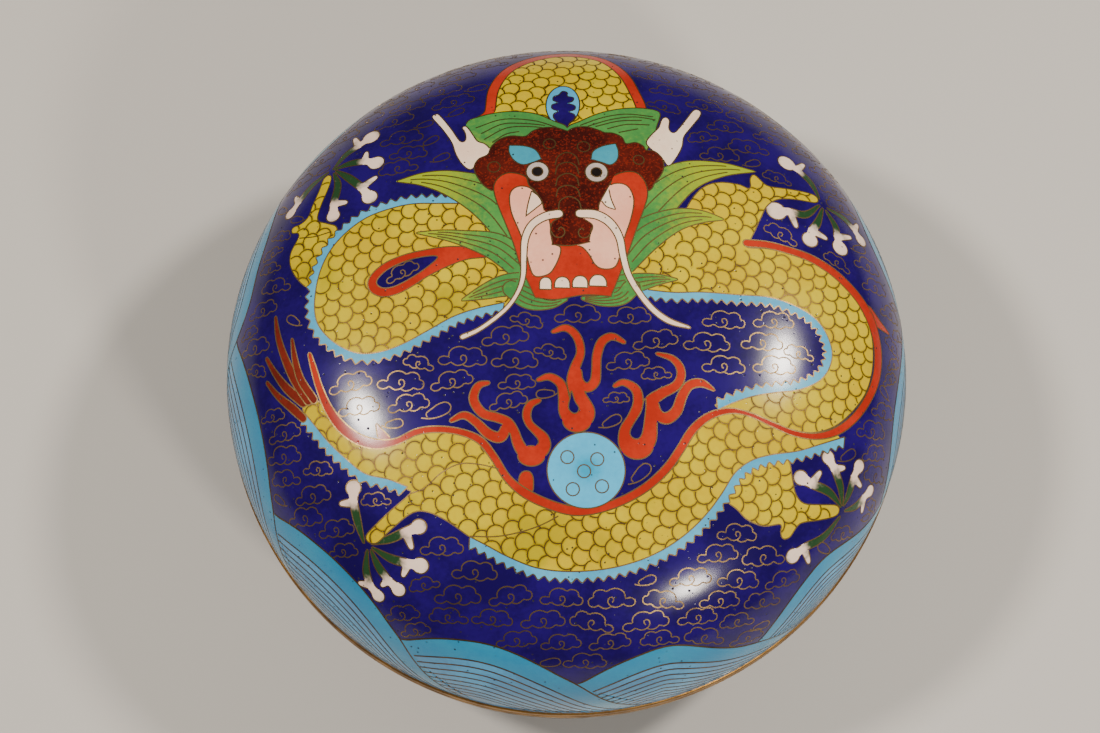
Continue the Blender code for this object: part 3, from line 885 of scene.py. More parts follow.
def partition(cells, dome, spacing, fine):
    """Cuts the plan into triangles along every outline: (plan points, triangles, finish of each).

    Between the outlines the points lie about a spacing apart, and in the scales as close as fine.
    """
    points, edges = [], []

    def add_loop(loop):
        first = len(points)
        points.extend(Vector(p) for p in loop)
        edges.extend((first + i, first + (i + 1) % len(loop)) for i in range(len(loop)))

    add_loop(ellipse((0, 0), dome.reach, dome.reach, 1.5))
    for cell in cells:
        reach = np.hypot(*cell.outline.T)
        add_loop(cell.outline * np.minimum(1.0, dome.reach / np.maximum(reach, 1e-9))[:, None])

    def grid(step):
        across = np.arange(-dome.reach, dome.reach, step)
        up = np.arange(-dome.reach, dome.reach, step * 0.866)
        u, v = np.meshgrid(across, up)
        u = u + 0.5 * step * (np.arange(len(up)) % 2)[:, None]
        spots = np.stack([u.ravel(), v.ravel()], 1)
        return spots[np.hypot(*spots.T) < dome.reach - 0.6]

    coarse = grid(spacing)
    scales = [cell for cell in cells if cell.finish == "scale"]
    if scales:
        coarse = coarse[~covered(coarse, scales)]
        dense = grid(fine)
        points.extend(Vector(p) for p in dense[covered(dense, scales)])
    points.extend(Vector(p) for p in coarse)
    found = delaunay_2d_cdt(points, edges, [], 0, 1e-4)
    plan = np.array([tuple(p) for p in found[0]])
    triangles = np.array([t for t in found[2] if len(t) == 3])
    middle = plan[triangles].mean(1)
    kept = np.hypot(*middle.T) < dome.reach
    triangles, middle = triangles[kept], middle[kept]
    span = plan[triangles]
    area = np.cross(span[:, 1] - span[:, 0], span[:, 2] - span[:, 0])
    kept = np.abs(area) > 1e-7
    triangles, middle, area = triangles[kept], middle[kept], area[kept]
    triangles[area < 0] = triangles[area < 0][:, ::-1]
    finish = np.full(len(triangles), -1)
    for k, cell in enumerate(cells):
        finish[cell.holds(middle)] = k
    names = ["cobalt"] + [cell.finish for cell in cells]
    return plan, triangles, np.array(names)[finish + 1]


def inlay(name, plan, triangles, dome, depth, material, tone=None):
    """A closed slab of enamel under some of the plan's triangles, with the dome's own normals on top."""
    used, flat = np.unique(triangles, return_inverse=True)
    triangles = flat.reshape(-1, 3)
    if dome.side < 0:
        triangles = triangles[:, ::-1]
    plan = plan[used]
    top, normal = dome.place(plan)
    low, _ = dome.place(plan, depth)
    count = len(plan)
    sides = np.concatenate([triangles[:, [0, 1]], triangles[:, [1, 2]], triangles[:, [2, 0]]])
    keys = sides[:, 0] * count + sides[:, 1]
    back = sides[:, 1] * count + sides[:, 0]
    border = sides[~np.isin(keys, back)]
    walls = np.column_stack([border[:, 1], border[:, 0], border[:, 0] + count, border[:, 1] + count])
    faces = triangles.tolist() + (triangles[:, ::-1] + count).tolist() + walls.tolist()
    mesh = bpy.data.meshes.new(name)
    mesh.from_pydata(np.concatenate([top, low]).tolist(), [], faces)
    mesh.materials.append(material)
    values = mesh.attributes.new("tone", "FLOAT", "POINT")
    toned = np.zeros(2 * count, np.float32)
    if tone is not None:
        toned[:] = np.tile(tone(plan), 2)
    values.data.foreach_set("value", toned)
    mesh.shade_smooth()
    corner = np.zeros((len(mesh.loops), 3))
    tops = 3 * len(triangles)
    corner[:tops] = normal[triangles.ravel()]
    corner[tops: 2 * tops] = -normal[triangles[:, ::-1].ravel()]
    a, b = top[border[:, 0]], top[border[:, 1]]
    across = np.cross(a - low[border[:, 0]], b - a)
    across /= np.maximum(np.linalg.norm(across, axis=1), 1e-12)[:, None]
    corner[2 * tops:] = np.repeat(-across, 4, axis=0)
    mesh.normals_split_custom_set(corner.tolist())
    return linked(name, mesh)


# Node trees


class Link:
    """A socket in a node tree. Arithmetic on it adds Math nodes."""

    def __init__(self, maker, socket):
        self.maker, self.socket = maker, socket

    def out(self, name):
        return Link(self.maker, self.socket.node.outputs[name])

    def __add__(self, other):
        return self.maker.math("ADD", self, other)

    def __radd__(self, other):
        return self.maker.math("ADD", other, self)

    def __sub__(self, other):
        return self.maker.math("SUBTRACT", self, other)

    def __rsub__(self, other):
        return self.maker.math("SUBTRACT", other, self)

    def __mul__(self, other):
        return self.maker.math("MULTIPLY", self, other)

    def __rmul__(self, other):
        return self.maker.math("MULTIPLY", other, self)

    def __truediv__(self, other):
        return self.maker.math("DIVIDE", self, other)

    def __neg__(self):
        return self.maker.math("MULTIPLY", self, -1.0)


class Maker:
    """Adds nodes to one tree."""

    def __init__(self, tree):
        self.tree = tree

    def add(self, kind, options=None, inputs=None, output=0):
        """Adds a node, and returns one of its outputs as a Link."""
        node = self.tree.nodes.new(kind)
        for name, value in (options or {}).items():
            setattr(node, name, value)
        for name, value in (inputs or {}).items():
            socket = node.inputs[name]
            if isinstance(value, Link):
                self.tree.links.new(value.socket, socket)
            else:
                socket.default_value = value
        return Link(self, node.outputs[output])

    def math(self, operation, first, second=0.0):
        return self.add("ShaderNodeMath", {"operation": operation}, {0: first, 1: second})

    def blend(self, share, first, second):
        """A mix of two colours."""
        return self.add("ShaderNodeMix", {"data_type": "RGBA"}, {"Factor": share, 6: first, 7: second}, 2)

    def steps(self, value, low, high):
        """0 below low and 1 above high, with a soft step between."""
        return self.add("ShaderNodeMapRange", {"interpolation_type": "SMOOTHSTEP"},
                        {"Value": value, "From Min": low, "From Max": high})


def rgba(colour):
    return (colour[0], colour[1], colour[2], 1.0)


def new_material(name):
    """(material, maker, Principled node, Object coordinates)"""
    material = bpy.data.materials.new(name)
    material.use_nodes = True
    maker = Maker(material.node_tree)
    shader = material.node_tree.nodes["Principled BSDF"]
    place = maker.add("ShaderNodeTexCoord", output="Object")
    return material, maker, shader, place


ENAMEL_ROUGHNESS = 0.14
FLECK_COLOUR = linear(156, 46, 26)
PIT_COLOUR = linear(26, 20, 18)


def enamel(name, colour, deep, speckle=0.0, toned=None, tone_low=0.0, tone_high=1.0, pit_share=1.0,
           patches=None):
    """Polished glass enamel: cloudy colour, pinholes and a faint ripple. toned is the colour at a tone of 1."""
    material, maker, shader, place = new_material(name)
    clouds = maker.add("ShaderNodeTexNoise", inputs={"Vector": place, "Scale": 85.0, "Detail": 5.0})
    grain = maker.add("ShaderNodeTexNoise", inputs={"Vector": place, "Scale": 900.0, "Detail": 3.0})
    shade = maker.steps(clouds * 0.75 + grain * 0.25, 0.38, 0.66)
    paint = maker.blend(shade, rgba(deep), rgba(colour))
    if patches is not None:
        spread = maker.add("ShaderNodeTexNoise", inputs={"Vector": place, "Scale": 46.0, "Detail": 4.0})
        paint = maker.blend(maker.steps(spread, 0.56, 0.72) * 0.5, paint, rgba(patches))
    if speckle:
        flecks = maker.add("ShaderNodeTexVoronoi", {"feature": "F1"}, {"Vector": place, "Scale": 2600.0},
                           "Color")
        level = maker.add("ShaderNodeSeparateColor", inputs={"Color": flecks}, output="Red")
        bright = maker.steps(level, 0.62, 0.98) * speckle
        paint = maker.blend(bright, paint, rgba(FLECK_COLOUR))
    if toned is not None:
        tone = maker.add("ShaderNodeAttribute", {"attribute_name": "tone"}, output="Fac")
        tone = tone + (grain - 0.5) * 0.7
        paint = maker.blend(maker.steps(tone, tone_low, tone_high), paint, rgba(toned))
    holes = maker.add("ShaderNodeTexVoronoi", {"feature": "F1"}, {"Vector": place, "Scale": 480.0},
                      "Distance")
    where = maker.add("ShaderNodeTexNoise", inputs={"Vector": place, "Scale": 260.0, "Detail": 1.0})
    pit = (1.0 - maker.steps(holes, 0.07, 0.17)) * maker.steps(where, 0.47, 0.53) * pit_share
    paint = maker.blend(pit, paint, rgba(PIT_COLOUR))
    maker.tree.links.new(paint.socket, shader.inputs["Base Color"])
    roughness = ENAMEL_ROUGHNESS + pit * 0.5 + clouds * 0.05
    maker.tree.links.new(roughness.socket, shader.inputs["Roughness"])
    ripple = maker.add("ShaderNodeTexNoise", inputs={"Vector": place, "Scale": 55.0, "Detail": 3.0})
    height = ripple * 0.35 + grain * 0.03 - pit * 0.6
    bump = maker.add("ShaderNodeBump", inputs={"Strength": 0.25, "Distance": 0.0004, "Height": height})
    maker.tree.links.new(bump.socket, shader.inputs["Normal"])
    shader.inputs["IOR"].default_value = 1.4
    return material


def brass(name, bright, dull, rough):
    """Worn gilt brass: brown patina in patches, and fine scratches round the turning."""
    material, maker, shader, place = new_material(name)
    patches = maker.add("ShaderNodeTexNoise", inputs={"Vector": place, "Scale": 140.0, "Detail": 6.0})
    fine = maker.add("ShaderNodeTexNoise", inputs={"Vector": place, "Scale": 1500.0, "Detail": 2.0})
    worn = maker.steps(patches * 0.7 + fine * 0.3, 0.22, 0.74)
    paint = maker.blend(worn, rgba(dull), rgba(bright))
    maker.tree.links.new(paint.socket, shader.inputs["Base Color"])
    roughness = rough + (1.0 - worn) * 0.2
    maker.tree.links.new(roughness.socket, shader.inputs["Roughness"])
    stretched = maker.add("ShaderNodeMapping", inputs={"Vector": place, "Scale": (1.0, 1.0, 14.0)})
    lines = maker.add("ShaderNodeTexNoise", inputs={"Vector": stretched, "Scale": 320.0, "Detail": 4.0})
    bump = maker.add("ShaderNodeBump", inputs={"Strength": 0.2, "Distance": 0.0002, "Height": lines})
    maker.tree.links.new(bump.socket, shader.inputs["Normal"])
    shader.inputs["Metallic"].default_value = 1.0
    return material


TREE_INPUTS = (
    ("Outline", "NodeSocketObject", None),
    ("Motif", "NodeSocketObject", None),
    ("Copies", "NodeSocketInt", 12),
    ("Wire width", "NodeSocketFloat", 0.0004),
    ("Wire depth", "NodeSocketFloat", 0.0005),
    ("Proud", "NodeSocketFloat", 0.00004),
    ("Step", "NodeSocketFloat", 0.0006),
    ("Side", "NodeSocketFloat", 1.0),
    ("Material", "NodeSocketMaterial", None),
)


def wire_tree(kind):
    """Nodes that lay flat plan lines on a dome as wires.

    kind is lines, motifs for a motif copied to points, or border for lines copied round a rim.
    """
    tree = bpy.data.node_groups.new("wires from " + kind, "GeometryNodeTree")
    tree.interface.new_socket("Geometry", in_out="INPUT", socket_type="NodeSocketGeometry")
    for name, socket_type, default in TREE_INPUTS:
        socket = tree.interface.new_socket(name, in_out="INPUT", socket_type=socket_type)
        if default is not None:
            socket.default_value = default
    tree.interface.new_socket("Geometry", in_out="OUTPUT", socket_type="NodeSocketGeometry")
    maker = Maker(tree)
    given = maker.add("NodeGroupInput")
    plan = given.out("Geometry")

    if kind == "motifs":
        motif = maker.add("GeometryNodeObjectInfo", inputs={"Object": given.out("Motif")}, output="Geometry")
        drawn = maker.add("GeometryNodeMeshToCurve", inputs={"Mesh": motif})
        turn = maker.add("GeometryNodeInputNamedAttribute", {"data_type": "FLOAT"}, {"Name": "turn"})
        euler = maker.add("ShaderNodeCombineXYZ", inputs={"Z": turn})
        spin = maker.add("FunctionNodeEulerToRotation", inputs={"Euler": euler})
        size = maker.add("GeometryNodeInputNamedAttribute", {"data_type": "FLOAT_VECTOR"}, {"Name": "size"})
        copies = maker.add("GeometryNodeInstanceOnPoints",
                           inputs={"Points": plan, "Instance": drawn, "Rotation": spin, "Scale": size})
        curves = maker.add("GeometryNodeRealizeInstances", inputs={"Geometry": copies})
    else:
        curves = maker.add("GeometryNodeMeshToCurve", inputs={"Mesh": plan})
    if kind == "border":
        spots = maker.add("GeometryNodePoints", inputs={"Count": given.out("Copies")})
        index = maker.add("GeometryNodeInputIndex")
        euler = maker.add("ShaderNodeCombineXYZ", inputs={"Z": index * (2 * math.pi) / given.out("Copies")})
        spin = maker.add("FunctionNodeEulerToRotation", inputs={"Euler": euler})
        copies = maker.add("GeometryNodeInstanceOnPoints",
                           inputs={"Points": spots, "Instance": curves, "Rotation": spin})
        curves = maker.add("GeometryNodeRealizeInstances", inputs={"Geometry": copies})
    curves = maker.add("GeometryNodeResampleCurve", {"mode": "LENGTH"},
                       {"Curve": curves, "Length": given.out("Step")})

    profile_mesh = maker.add("GeometryNodeObjectInfo", inputs={"Object": given.out("Outline")},
                             output="Geometry")
    profile = maker.add("GeometryNodeMeshToCurve", inputs={"Mesh": profile_mesh})
    position = maker.add("GeometryNodeInputPosition")
    flat = maker.add("ShaderNodeSeparateXYZ", inputs={"Vector": position})
    run = maker.add("ShaderNodeVectorMath", {"operation": "LENGTH"}, {0: position}, "Value")
    cosine, sine = flat.out("X") / run, flat.out("Y") / run
    sampled = maker.add("GeometryNodeSampleCurve", {"mode": "LENGTH"}, {"Curves": profile, "Length": run})
    spot = maker.add("ShaderNodeSeparateXYZ", inputs={"Vector": sampled.out("Position")})
    slope = maker.add("ShaderNodeSeparateXYZ", inputs={"Vector": sampled.out("Tangent")})
    side = given.out("Side")
    out_r, out_z = -slope.out("Z") * side, slope.out("X") * side
    normal = maker.add("ShaderNodeCombineXYZ", inputs={"X": out_r * cosine, "Y": out_r * sine, "Z": out_z})
    sunk = given.out("Proud") - given.out("Wire depth") * 0.5
    place = maker.add("ShaderNodeCombineXYZ", inputs={
        "X": spot.out("X") * cosine + out_r * cosine * sunk,
        "Y": spot.out("X") * sine + out_r * sine * sunk,
        "Z": spot.out("Z") + out_z * sunk,
    })
    noted = maker.add("GeometryNodeStoreNamedAttribute", {"data_type": "FLOAT_VECTOR", "domain": "POINT"},
                      {"Geometry": curves, "Name": "outward", "Value": normal})
    laid = maker.add("GeometryNodeSetPosition", inputs={"Geometry": noted, "Position": place})
    outward = maker.add("GeometryNodeInputNamedAttribute", {"data_type": "FLOAT_VECTOR"}, {"Name": "outward"})
    upright = maker.add("GeometryNodeSetCurveNormal", {"mode": "FREE"}, {"Curve": laid, "Normal": outward})
    section = maker.add("GeometryNodeCurvePrimitiveQuadrilateral",
                        inputs={"Width": given.out("Wire depth"), "Height": given.out("Wire width")})
    swept = maker.add("GeometryNodeCurveToMesh",
                      inputs={"Curve": upright, "Profile Curve": section, "Fill Caps": True})
    cleaned = maker.add("GeometryNodeRemoveAttribute", inputs={"Geometry": swept, "Name": "outward"})
    real = maker.add("GeometryNodeRealizeInstances", inputs={"Geometry": cleaned})
    finished = maker.add("GeometryNodeSetMaterial",
                         inputs={"Geometry": real, "Material": given.out("Material")})
    output = tree.nodes.new("NodeGroupOutput")
    tree.links.new(finished.socket, output.inputs["Geometry"])
    return tree


def plan_object(name, lines):
    """Plan lines as one mesh of edges, in metres."""
    points, edges = [], []
    for line in lines:
        first = len(points)
        points += [(u * MM, v * MM, 0.0) for u, v in line]
        edges += [(first + i, first + i + 1) for i in range(len(line) - 1)]
    mesh = bpy.data.meshes.new(name)
    mesh.from_pydata(points, edges, [])
    return linked(name, mesh)


def point_object(name, places):
    """Plan points with the turn and size of what is copied to each."""
    mesh = bpy.data.meshes.new(name)
    mesh.from_pydata([(u * MM, v * MM, 0.0) for u, v, *_ in places], [], [])
    turn = mesh.attributes.new("turn", "FLOAT", "POINT")
    turn.data.foreach_set("value", np.array([p[2] for p in places], np.float32))
    size = mesh.attributes.new("size", "FLOAT_VECTOR", "POINT")
    scale = [((-p[3] if p[4] else p[3]), p[3], 1.0) for p in places]
    size.data.foreach_set("vector", np.array(scale, np.float32).ravel())
    return linked(name, mesh)


def run_wires(source, tree, values):
    """Evaluates the nodes on a source object and keeps the result as a plain mesh object of the same name."""
    modifier = source.modifiers.new("wires", "NODES")
    modifier.node_group = tree
    for item in tree.interface.items_tree:
        if item.item_type == "SOCKET" and item.in_out == "INPUT" and item.name in values:
            modifier[item.identifier] = values[item.name]
    bpy.context.view_layer.update()
    evaluated = source.evaluated_get(bpy.context.evaluated_depsgraph_get())
    mesh = bpy.data.meshes.new_from_object(evaluated)
    name = source.name
    source.modifiers.remove(modifier)
    bpy.data.objects.remove(source)
    if not mesh.polygons:
        raise RuntimeError(name + " has no wires")
    mesh.shade_flat()
    point_outwards(mesh)
    obj = linked(name, mesh)
    obj.name = name
    return obj


# Settings


class BoxSettings(bpy.types.PropertyGroup):
    """Sizes and colours that can be changed in the sidebar."""

    wire_width: bpy.props.FloatProperty(name="Wire Width", description="Width of the polished wire",
                                        default=0.00032, min=0.0001, max=0.002, unit="LENGTH")
    wire_proud: bpy.props.FloatProperty(name="Wire Proud",
                                        description="How far the wire stands above the enamel",
                                        default=0.00003, min=0.0, max=0.0002, unit="LENGTH")
    wire_depth: bpy.props.FloatProperty(name="Wire Depth", description="Depth of the wire in the enamel",
                                        default=0.00045, min=0.0002, max=0.001, unit="LENGTH")
    cell_depth: bpy.props.FloatProperty(name="Enamel Depth",
                                        description="Thickness of the enamel in its cells",
                                        default=0.0006, min=0.0002, max=0.001, unit="LENGTH")
    scale_radius: bpy.props.FloatProperty(name="Scale Radius",
                                          description="Radius of one scale of the dragon",
                                          default=0.0023, min=0.001, max=0.005, unit="LENGTH")
    scale_spacing: bpy.props.FloatProperty(name="Scale Spacing", description="Distance between scales",
                                           default=0.0041, min=0.002, max=0.008, unit="LENGTH")
    waves: bpy.props.IntProperty(name="Waves", description="Waves round the bowl's border",
                                 default=12, min=6, max=24)
    cobalt: bpy.props.FloatVectorProperty(name="Cobalt", description="Ground enamel", subtype="COLOR",
                                          default=linear(32, 2, 100))
    yellow: bpy.props.FloatVectorProperty(name="Yellow", description="Scale enamel", subtype="COLOR",
                                          default=linear(208, 186, 0))
    red: bpy.props.FloatVectorProperty(name="Red", description="Fin and flame enamel", subtype="COLOR",
                                       default=linear(184, 50, 26))
    turquoise: bpy.props.FloatVectorProperty(name="Turquoise", description="Pearl enamel", subtype="COLOR",
                                             default=linear(76, 186, 230))
    teal: bpy.props.FloatVectorProperty(name="Teal", description="Wave band enamel", subtype="COLOR",
                                        default=linear(40, 138, 176))
    gilt: bpy.props.FloatVectorProperty(name="Gilt", description="Wire metal", subtype="COLOR",
                                        default=linear(148, 122, 78))


# What is made once and used by more than one operator
STORE = {}


def settings():
    return bpy.context.scene.cloisonne_box


def finishes():
    """Every enamel and metal, made once."""
    if "finishes" in STORE:
        return STORE["finishes"]
    s = settings()
    cobalt, yellow, red = tuple(s.cobalt), tuple(s.yellow), tuple(s.red)
    turquoise, teal, gilt = tuple(s.turquoise), tuple(s.teal), tuple(s.gilt)
    STORE["finishes"] = {
        "cobalt": enamel("cobalt enamel", cobalt, tuple(0.55 * c for c in cobalt)),
        "scale": enamel("yellow scale enamel", yellow, linear(198, 170, 0), toned=linear(96, 66, 12),
                        tone_low=0.3, tone_high=1.4, patches=linear(140, 132, 4)),
        "red": enamel("coral red enamel", red, linear(160, 38, 20)),
        "tail": enamel("brown red enamel", linear(122, 40, 26), linear(92, 28, 20)),
        "fin": enamel("pale turquoise enamel", linear(90, 178, 214), linear(66, 158, 200)),
        "pearl": enamel("pearl turquoise enamel", turquoise, linear(64, 172, 216), toned=linear(30, 152, 192),
                        tone_low=0.2, tone_high=1.0),
        "mane": enamel("green mane enamel", linear(80, 146, 66), linear(58, 124, 62),
                       toned=linear(150, 166, 32), tone_low=0.1, tone_high=0.9),
        "bone": enamel("cream enamel", linear(250, 226, 200), linear(242, 208, 182)),
        "head": enamel("aventurine enamel", linear(84, 26, 18), linear(52, 15, 12), speckle=0.36,
                       pit_share=0.3),
        "pink": enamel("pink enamel", linear(248, 184, 156), linear(240, 168, 140)),
        "brow": enamel("brow turquoise enamel", linear(58, 150, 172), linear(46, 134, 162)),
        "eye": enamel("grey white enamel", linear(192, 178, 170), linear(166, 152, 148)),
        "pupil": enamel("black enamel", linear(30, 26, 26), linear(18, 14, 16)),
        "claw": enamel("claw enamel", linear(248, 222, 202), linear(238, 206, 188), toned=linear(36, 66, 38),
                       tone_low=0.1, tone_high=0.95),
        "wave_band": enamel("teal wave enamel", teal, linear(34, 128, 172)),
        "wave_stripe": enamel("light wave enamel", linear(74, 160, 208), linear(70, 134, 178)),
        "lining": enamel("turquoise lining enamel", linear(88, 168, 180), linear(70, 146, 162)),
        "wire": brass("gilt wire", gilt, linear(92, 74, 50), 0.36),
        "dark_wire": brass("darkened wire", linear(112, 88, 50), linear(72, 58, 38), 0.42),
        "rim": brass("gilt brass rim", linear(172, 130, 70), linear(92, 68, 40), 0.34),
    }
    return STORE["finishes"]


def keep(obj, slot, node=None):
    """Marks a finished piece: it rides on the box's one body, and may stand for a solid of the frame."""
    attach(obj, "root")
    if node:
        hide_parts(node)


def lid_art():
    """(cells, scale lines) of the lid, drawn once."""
    if "lid" not in STORE:
        s = settings()
        cells = lid_cells()
        scales = scale_lines(cells, s.scale_radius / MM, s.scale_spacing / MM, seed=7)
        STORE["lid"] = (cells, scales)
    return STORE["lid"]


def near_lines(lines, reach):
    """A tone that is 1 on the lines and fades out at the reach."""
    dots = np.vstack(lines)
    tree = KDTree(len(dots))
    for i, (u, v) in enumerate(dots):
        tree.insert((u, v, 0.0), i)
    tree.balance()

    def tone(plan):
        gap = np.array([tree.find((u, v, 0.0))[2] for u, v in plan])
        return np.exp(-((gap / reach) ** 2))

    return tone


def claw_tone(plan):
    """1 on the green stems and 0 on the white claws."""
    tone = np.ones(len(plan))
    for _, _, heel, bulb, radius, spur in TOES:
        middle = np.array([0.65 * bulb[0] + 0.35 * heel[0], 0.65 * bulb[1] + 0.35 * heel[1]])
        gap = np.hypot(*(plan - middle).T)
        tone = np.minimum(tone, np.clip((gap - 0.75 * radius) / 3.4, 0, 1))
        tip = np.hypot(*(plan - np.array(spur)).T)
        tone = np.minimum(tone, np.clip((tip - 0.3) / 3.2, 0, 1))
    return tone


def mane_tone(plan):
    """1 at the leaves' yellow tips and low on the green tufts over the head."""
    tips = np.clip((np.hypot(plan[:, 0], (plan[:, 1] - 26) * 0.7) - 17) / 22, 0, 1)
    return tips * np.clip((54 - plan[:, 1]) / 8, 0.2, 1)


def pearl_tone(plan):
    """1 at the pearl's middle, fading out towards its edge."""
    return np.clip(1.1 - np.hypot(*(plan - (PEARL[0] + 0.3, PEARL[1] + 0.2)).T) / 5.5, 0, 1)


# Operators


class CLOISONNE_OT_lid_enamel(bpy.types.Operator):
    """Make the lid's lining and the enamel inlays of its picture"""

    bl_idname = "cloisonne.lid_enamel"
    bl_label = "Lid Enamel"

    def execute(self, context):
        s, made = settings(), finishes()
        cells, scales = lid_art()
        depth = s.cell_depth / MM
        plan, triangles, finish = partition(cells, LID_DOME, spacing=1.3, fine=0.62)
        tones = {"scale": near_lines(scales, 0.62), "claw": claw_tone, "mane": mane_tone, "pearl": pearl_tone}
        names = {
            "cobalt": "lid_ground", "scale": "dragon_scales", "red": "dragon_fins_and_flames",
            "tail": "dragon_tail_strands", "fin": "dragon_belly_fins", "pearl": "pearl", "mane": "dragon_mane",
            "bone": "dragon_horns_and_teeth", "head": "dragon_head", "pink": "dragon_cheeks",
            "brow": "dragon_brows", "eye": "dragon_eyes", "pupil": "dragon_pupils", "claw": "dragon_claws",
            "wave_band": "lid_wave_bands", "wave_stripe": "lid_wave_stripes",
        }
        for key, name in names.items():
            chosen = triangles[finish == key]
            if not len(chosen):
                raise RuntimeError("no enamel for " + name)
            keep(inlay(name, plan, chosen, LID_DOME, depth, made[key], tones.get(key)), "enamel")
        outer = lining_side(BODY_RADIUS - SET_BACK - depth, LID_HEIGHT - SET_BACK - depth, LID_FULLNESS)
        inner = lining_side(BODY_RADIUS - WALL, LID_HEIGHT - WALL, LID_FULLNESS)
        section = [(r, LID_BASE + z) for r, z in outer + inner[::-1]]
        keep(turned("lid_lining", section, LINING_STEPS, made["lining"]), "enamel", "lid_shell")
        return {"FINISHED"}


def lining_side(radius, height, fullness, rings=48):
    """One side of a lining's half section, (r, z) in millimetres from the crown to the open plane."""
    dome = Dome(radius, height, fullness, 0.0, 1)
    at = np.linspace(0, dome.reach, rings + 1)
    across, up = np.interp(at, dome.run, dome.across), np.interp(at, dome.run, dome.up)
    return [(float(r), float(z)) for r, z in zip(across, up)]


def clear_of_loops(place):
    """Whether a cloud or loop at the place leaves room for the loops of wire near the pearl."""
    return min(math.hypot(place[0] - u, place[1] - v) for u, v, *_ in PEARL_LOOPS) > PEARL_LOOP_ROOM


class CLOISONNE_OT_lid_wires(bpy.types.Operator):
    """Lay the lid's wires: clouds, scales, outlines and waves"""

    bl_idname = "cloisonne.lid_wires"
    bl_label = "Lid Wires"

    def execute(self, context):
        s, made = settings(), finishes()
        cells, scales = lid_art()
        outline = LID_DOME.outline_object("lid_profile")
        common = {"Outline": outline, "Wire width": s.wire_width, "Wire depth": s.wire_depth,
                  "Proud": s.wire_proud, "Step": 0.0006, "Side": 1.0}
        lines, motifs = wire_tree("lines"), wire_tree("motifs")
        clouds, loops = cloud_places(cells, 0.0, LID_DOME.reach - 6.0, seed=3)
        clouds = [place for place in clouds + [SLIT_CLOUD] if clear_of_loops(place)] + [PEARL_CLOUD]
        loops = [place for place in loops if clear_of_loops(place)] + PEARL_LOOPS
        for name, places, shape in (("lid_clouds", clouds, CLOUD), ("lid_cloud_loops", loops, LOOP)):
            motif = plan_object(name + "_motif", [smooth(shape, step=0.5)])
            made_piece = run_wires(point_object(name, places), motifs,
                                   {**common, "Motif": motif, "Material": made["wire"]})
            bpy.data.objects.remove(motif)
            keep(made_piece, "gilt_brass")
        drawn = cell_borders(cells) + mane_strands(cells)
        snout = smooth(SNOUT[1:-2], step=0.5)
        drawn += runs_where(snout, ~covered(snout, cells[-len(WHISKERS):]))
        drawn += [smooth(line, step=0.5) for line in HEAD_LINES]
        drawn += [ring(centre, radius) for centre, radius in HEAD_RINGS]
        drawn += [ring((PEARL[0] + u, PEARL[1] + v), PEARL_RING_RADIUS) for u, v in PEARL_RINGS]
        drawn += [smooth(line) for line in THIGH_LINES]
        keep(run_wires(plan_object("dragon_outline_wires", drawn), lines,
                       {**common, "Material": made["wire"]}), "gilt_brass")
        keep(run_wires(plan_object("dragon_scale_wires", scales), lines,
                       {**common, "Wire width": 0.9 * s.wire_width, "Material": made["dark_wire"]}),
             "gilt_brass")
        waves = [line for wave in wave_border(LID_DOME.reach, LID_WAVES)[1] for line in wave]
        keep(run_wires(plan_object("lid_wave_wires", waves), lines,
                       {**common, "Wire width": 1.5 * s.wire_width, "Material": made["dark_wire"]}),
             "gilt_brass")
        bpy.data.objects.remove(outline)
        return {"FINISHED"}


class CLOISONNE_OT_bowl(bpy.types.Operator):
    """Make the bowl's lining, enamel and wires"""

    bl_idname = "cloisonne.bowl"
    bl_label = "Bowl"

    def execute(self, context):
        s, made = settings(), finishes()
        depth = s.cell_depth / MM
        reach = BOWL_DOME.reach
        cells, waves = wave_border(reach, [(360.0 * k / s.waves, *BOWL_WAVE) for k in range(s.waves)])
        base_reach = float(np.interp(FOOT_OUTER, BOWL_DOME.across, BOWL_DOME.run))
        cells.append(Cell("lining", ellipse((0, 0), base_reach, base_reach, 1.2), wired=False))
        plan, triangles, finish = partition(cells, BOWL_DOME, spacing=2.0, fine=2.0)
        for key, name in (("cobalt", "bowl_ground"), ("lining", "bowl_underside"),
                          ("wave_band", "bowl_wave_bands"), ("wave_stripe", "bowl_wave_stripes")):
            keep(inlay(name, plan, triangles[finish == key], BOWL_DOME, depth, made[key]), "enamel")
        outer = lining_side(BODY_RADIUS - SET_BACK - depth, BOWL_DEPTH - SET_BACK - depth, BOWL_FULLNESS)
        inner = lining_side(BODY_RADIUS - WALL, BOWL_DEPTH - WALL, BOWL_FULLNESS)
        section = [(r, BOWL_TOP - z) for r, z in outer + inner[::-1]]
        keep(turned("bowl_lining", section, LINING_STEPS, made["lining"]), "enamel", "bowl_shell")
        outline = BOWL_DOME.outline_object("bowl_profile")
        common = {"Outline": outline, "Wire width": s.wire_width, "Wire depth": s.wire_depth,
                  "Proud": s.wire_proud, "Step": 0.0008, "Side": -1.0}
        clouds, _ = cloud_places(cells, base_reach + 1.0, reach - 4.0, seed=5)
        motif = plan_object("bowl_cloud_motif", [smooth(CLOUD, step=0.5)])
        keep(run_wires(point_object("bowl_clouds", clouds), wire_tree("motifs"),
                       {**common, "Motif": motif, "Material": made["wire"]}), "gilt_brass")
        bpy.data.objects.remove(motif)
        keep(run_wires(plan_object("bowl_wave_wires", waves[0]), wire_tree("border"),
                       {**common, "Copies": s.waves, "Wire width": 1.5 * s.wire_width,
                        "Material": made["dark_wire"]}), "gilt_brass")
        bpy.data.objects.remove(outline)
        return {"FINISHED"}


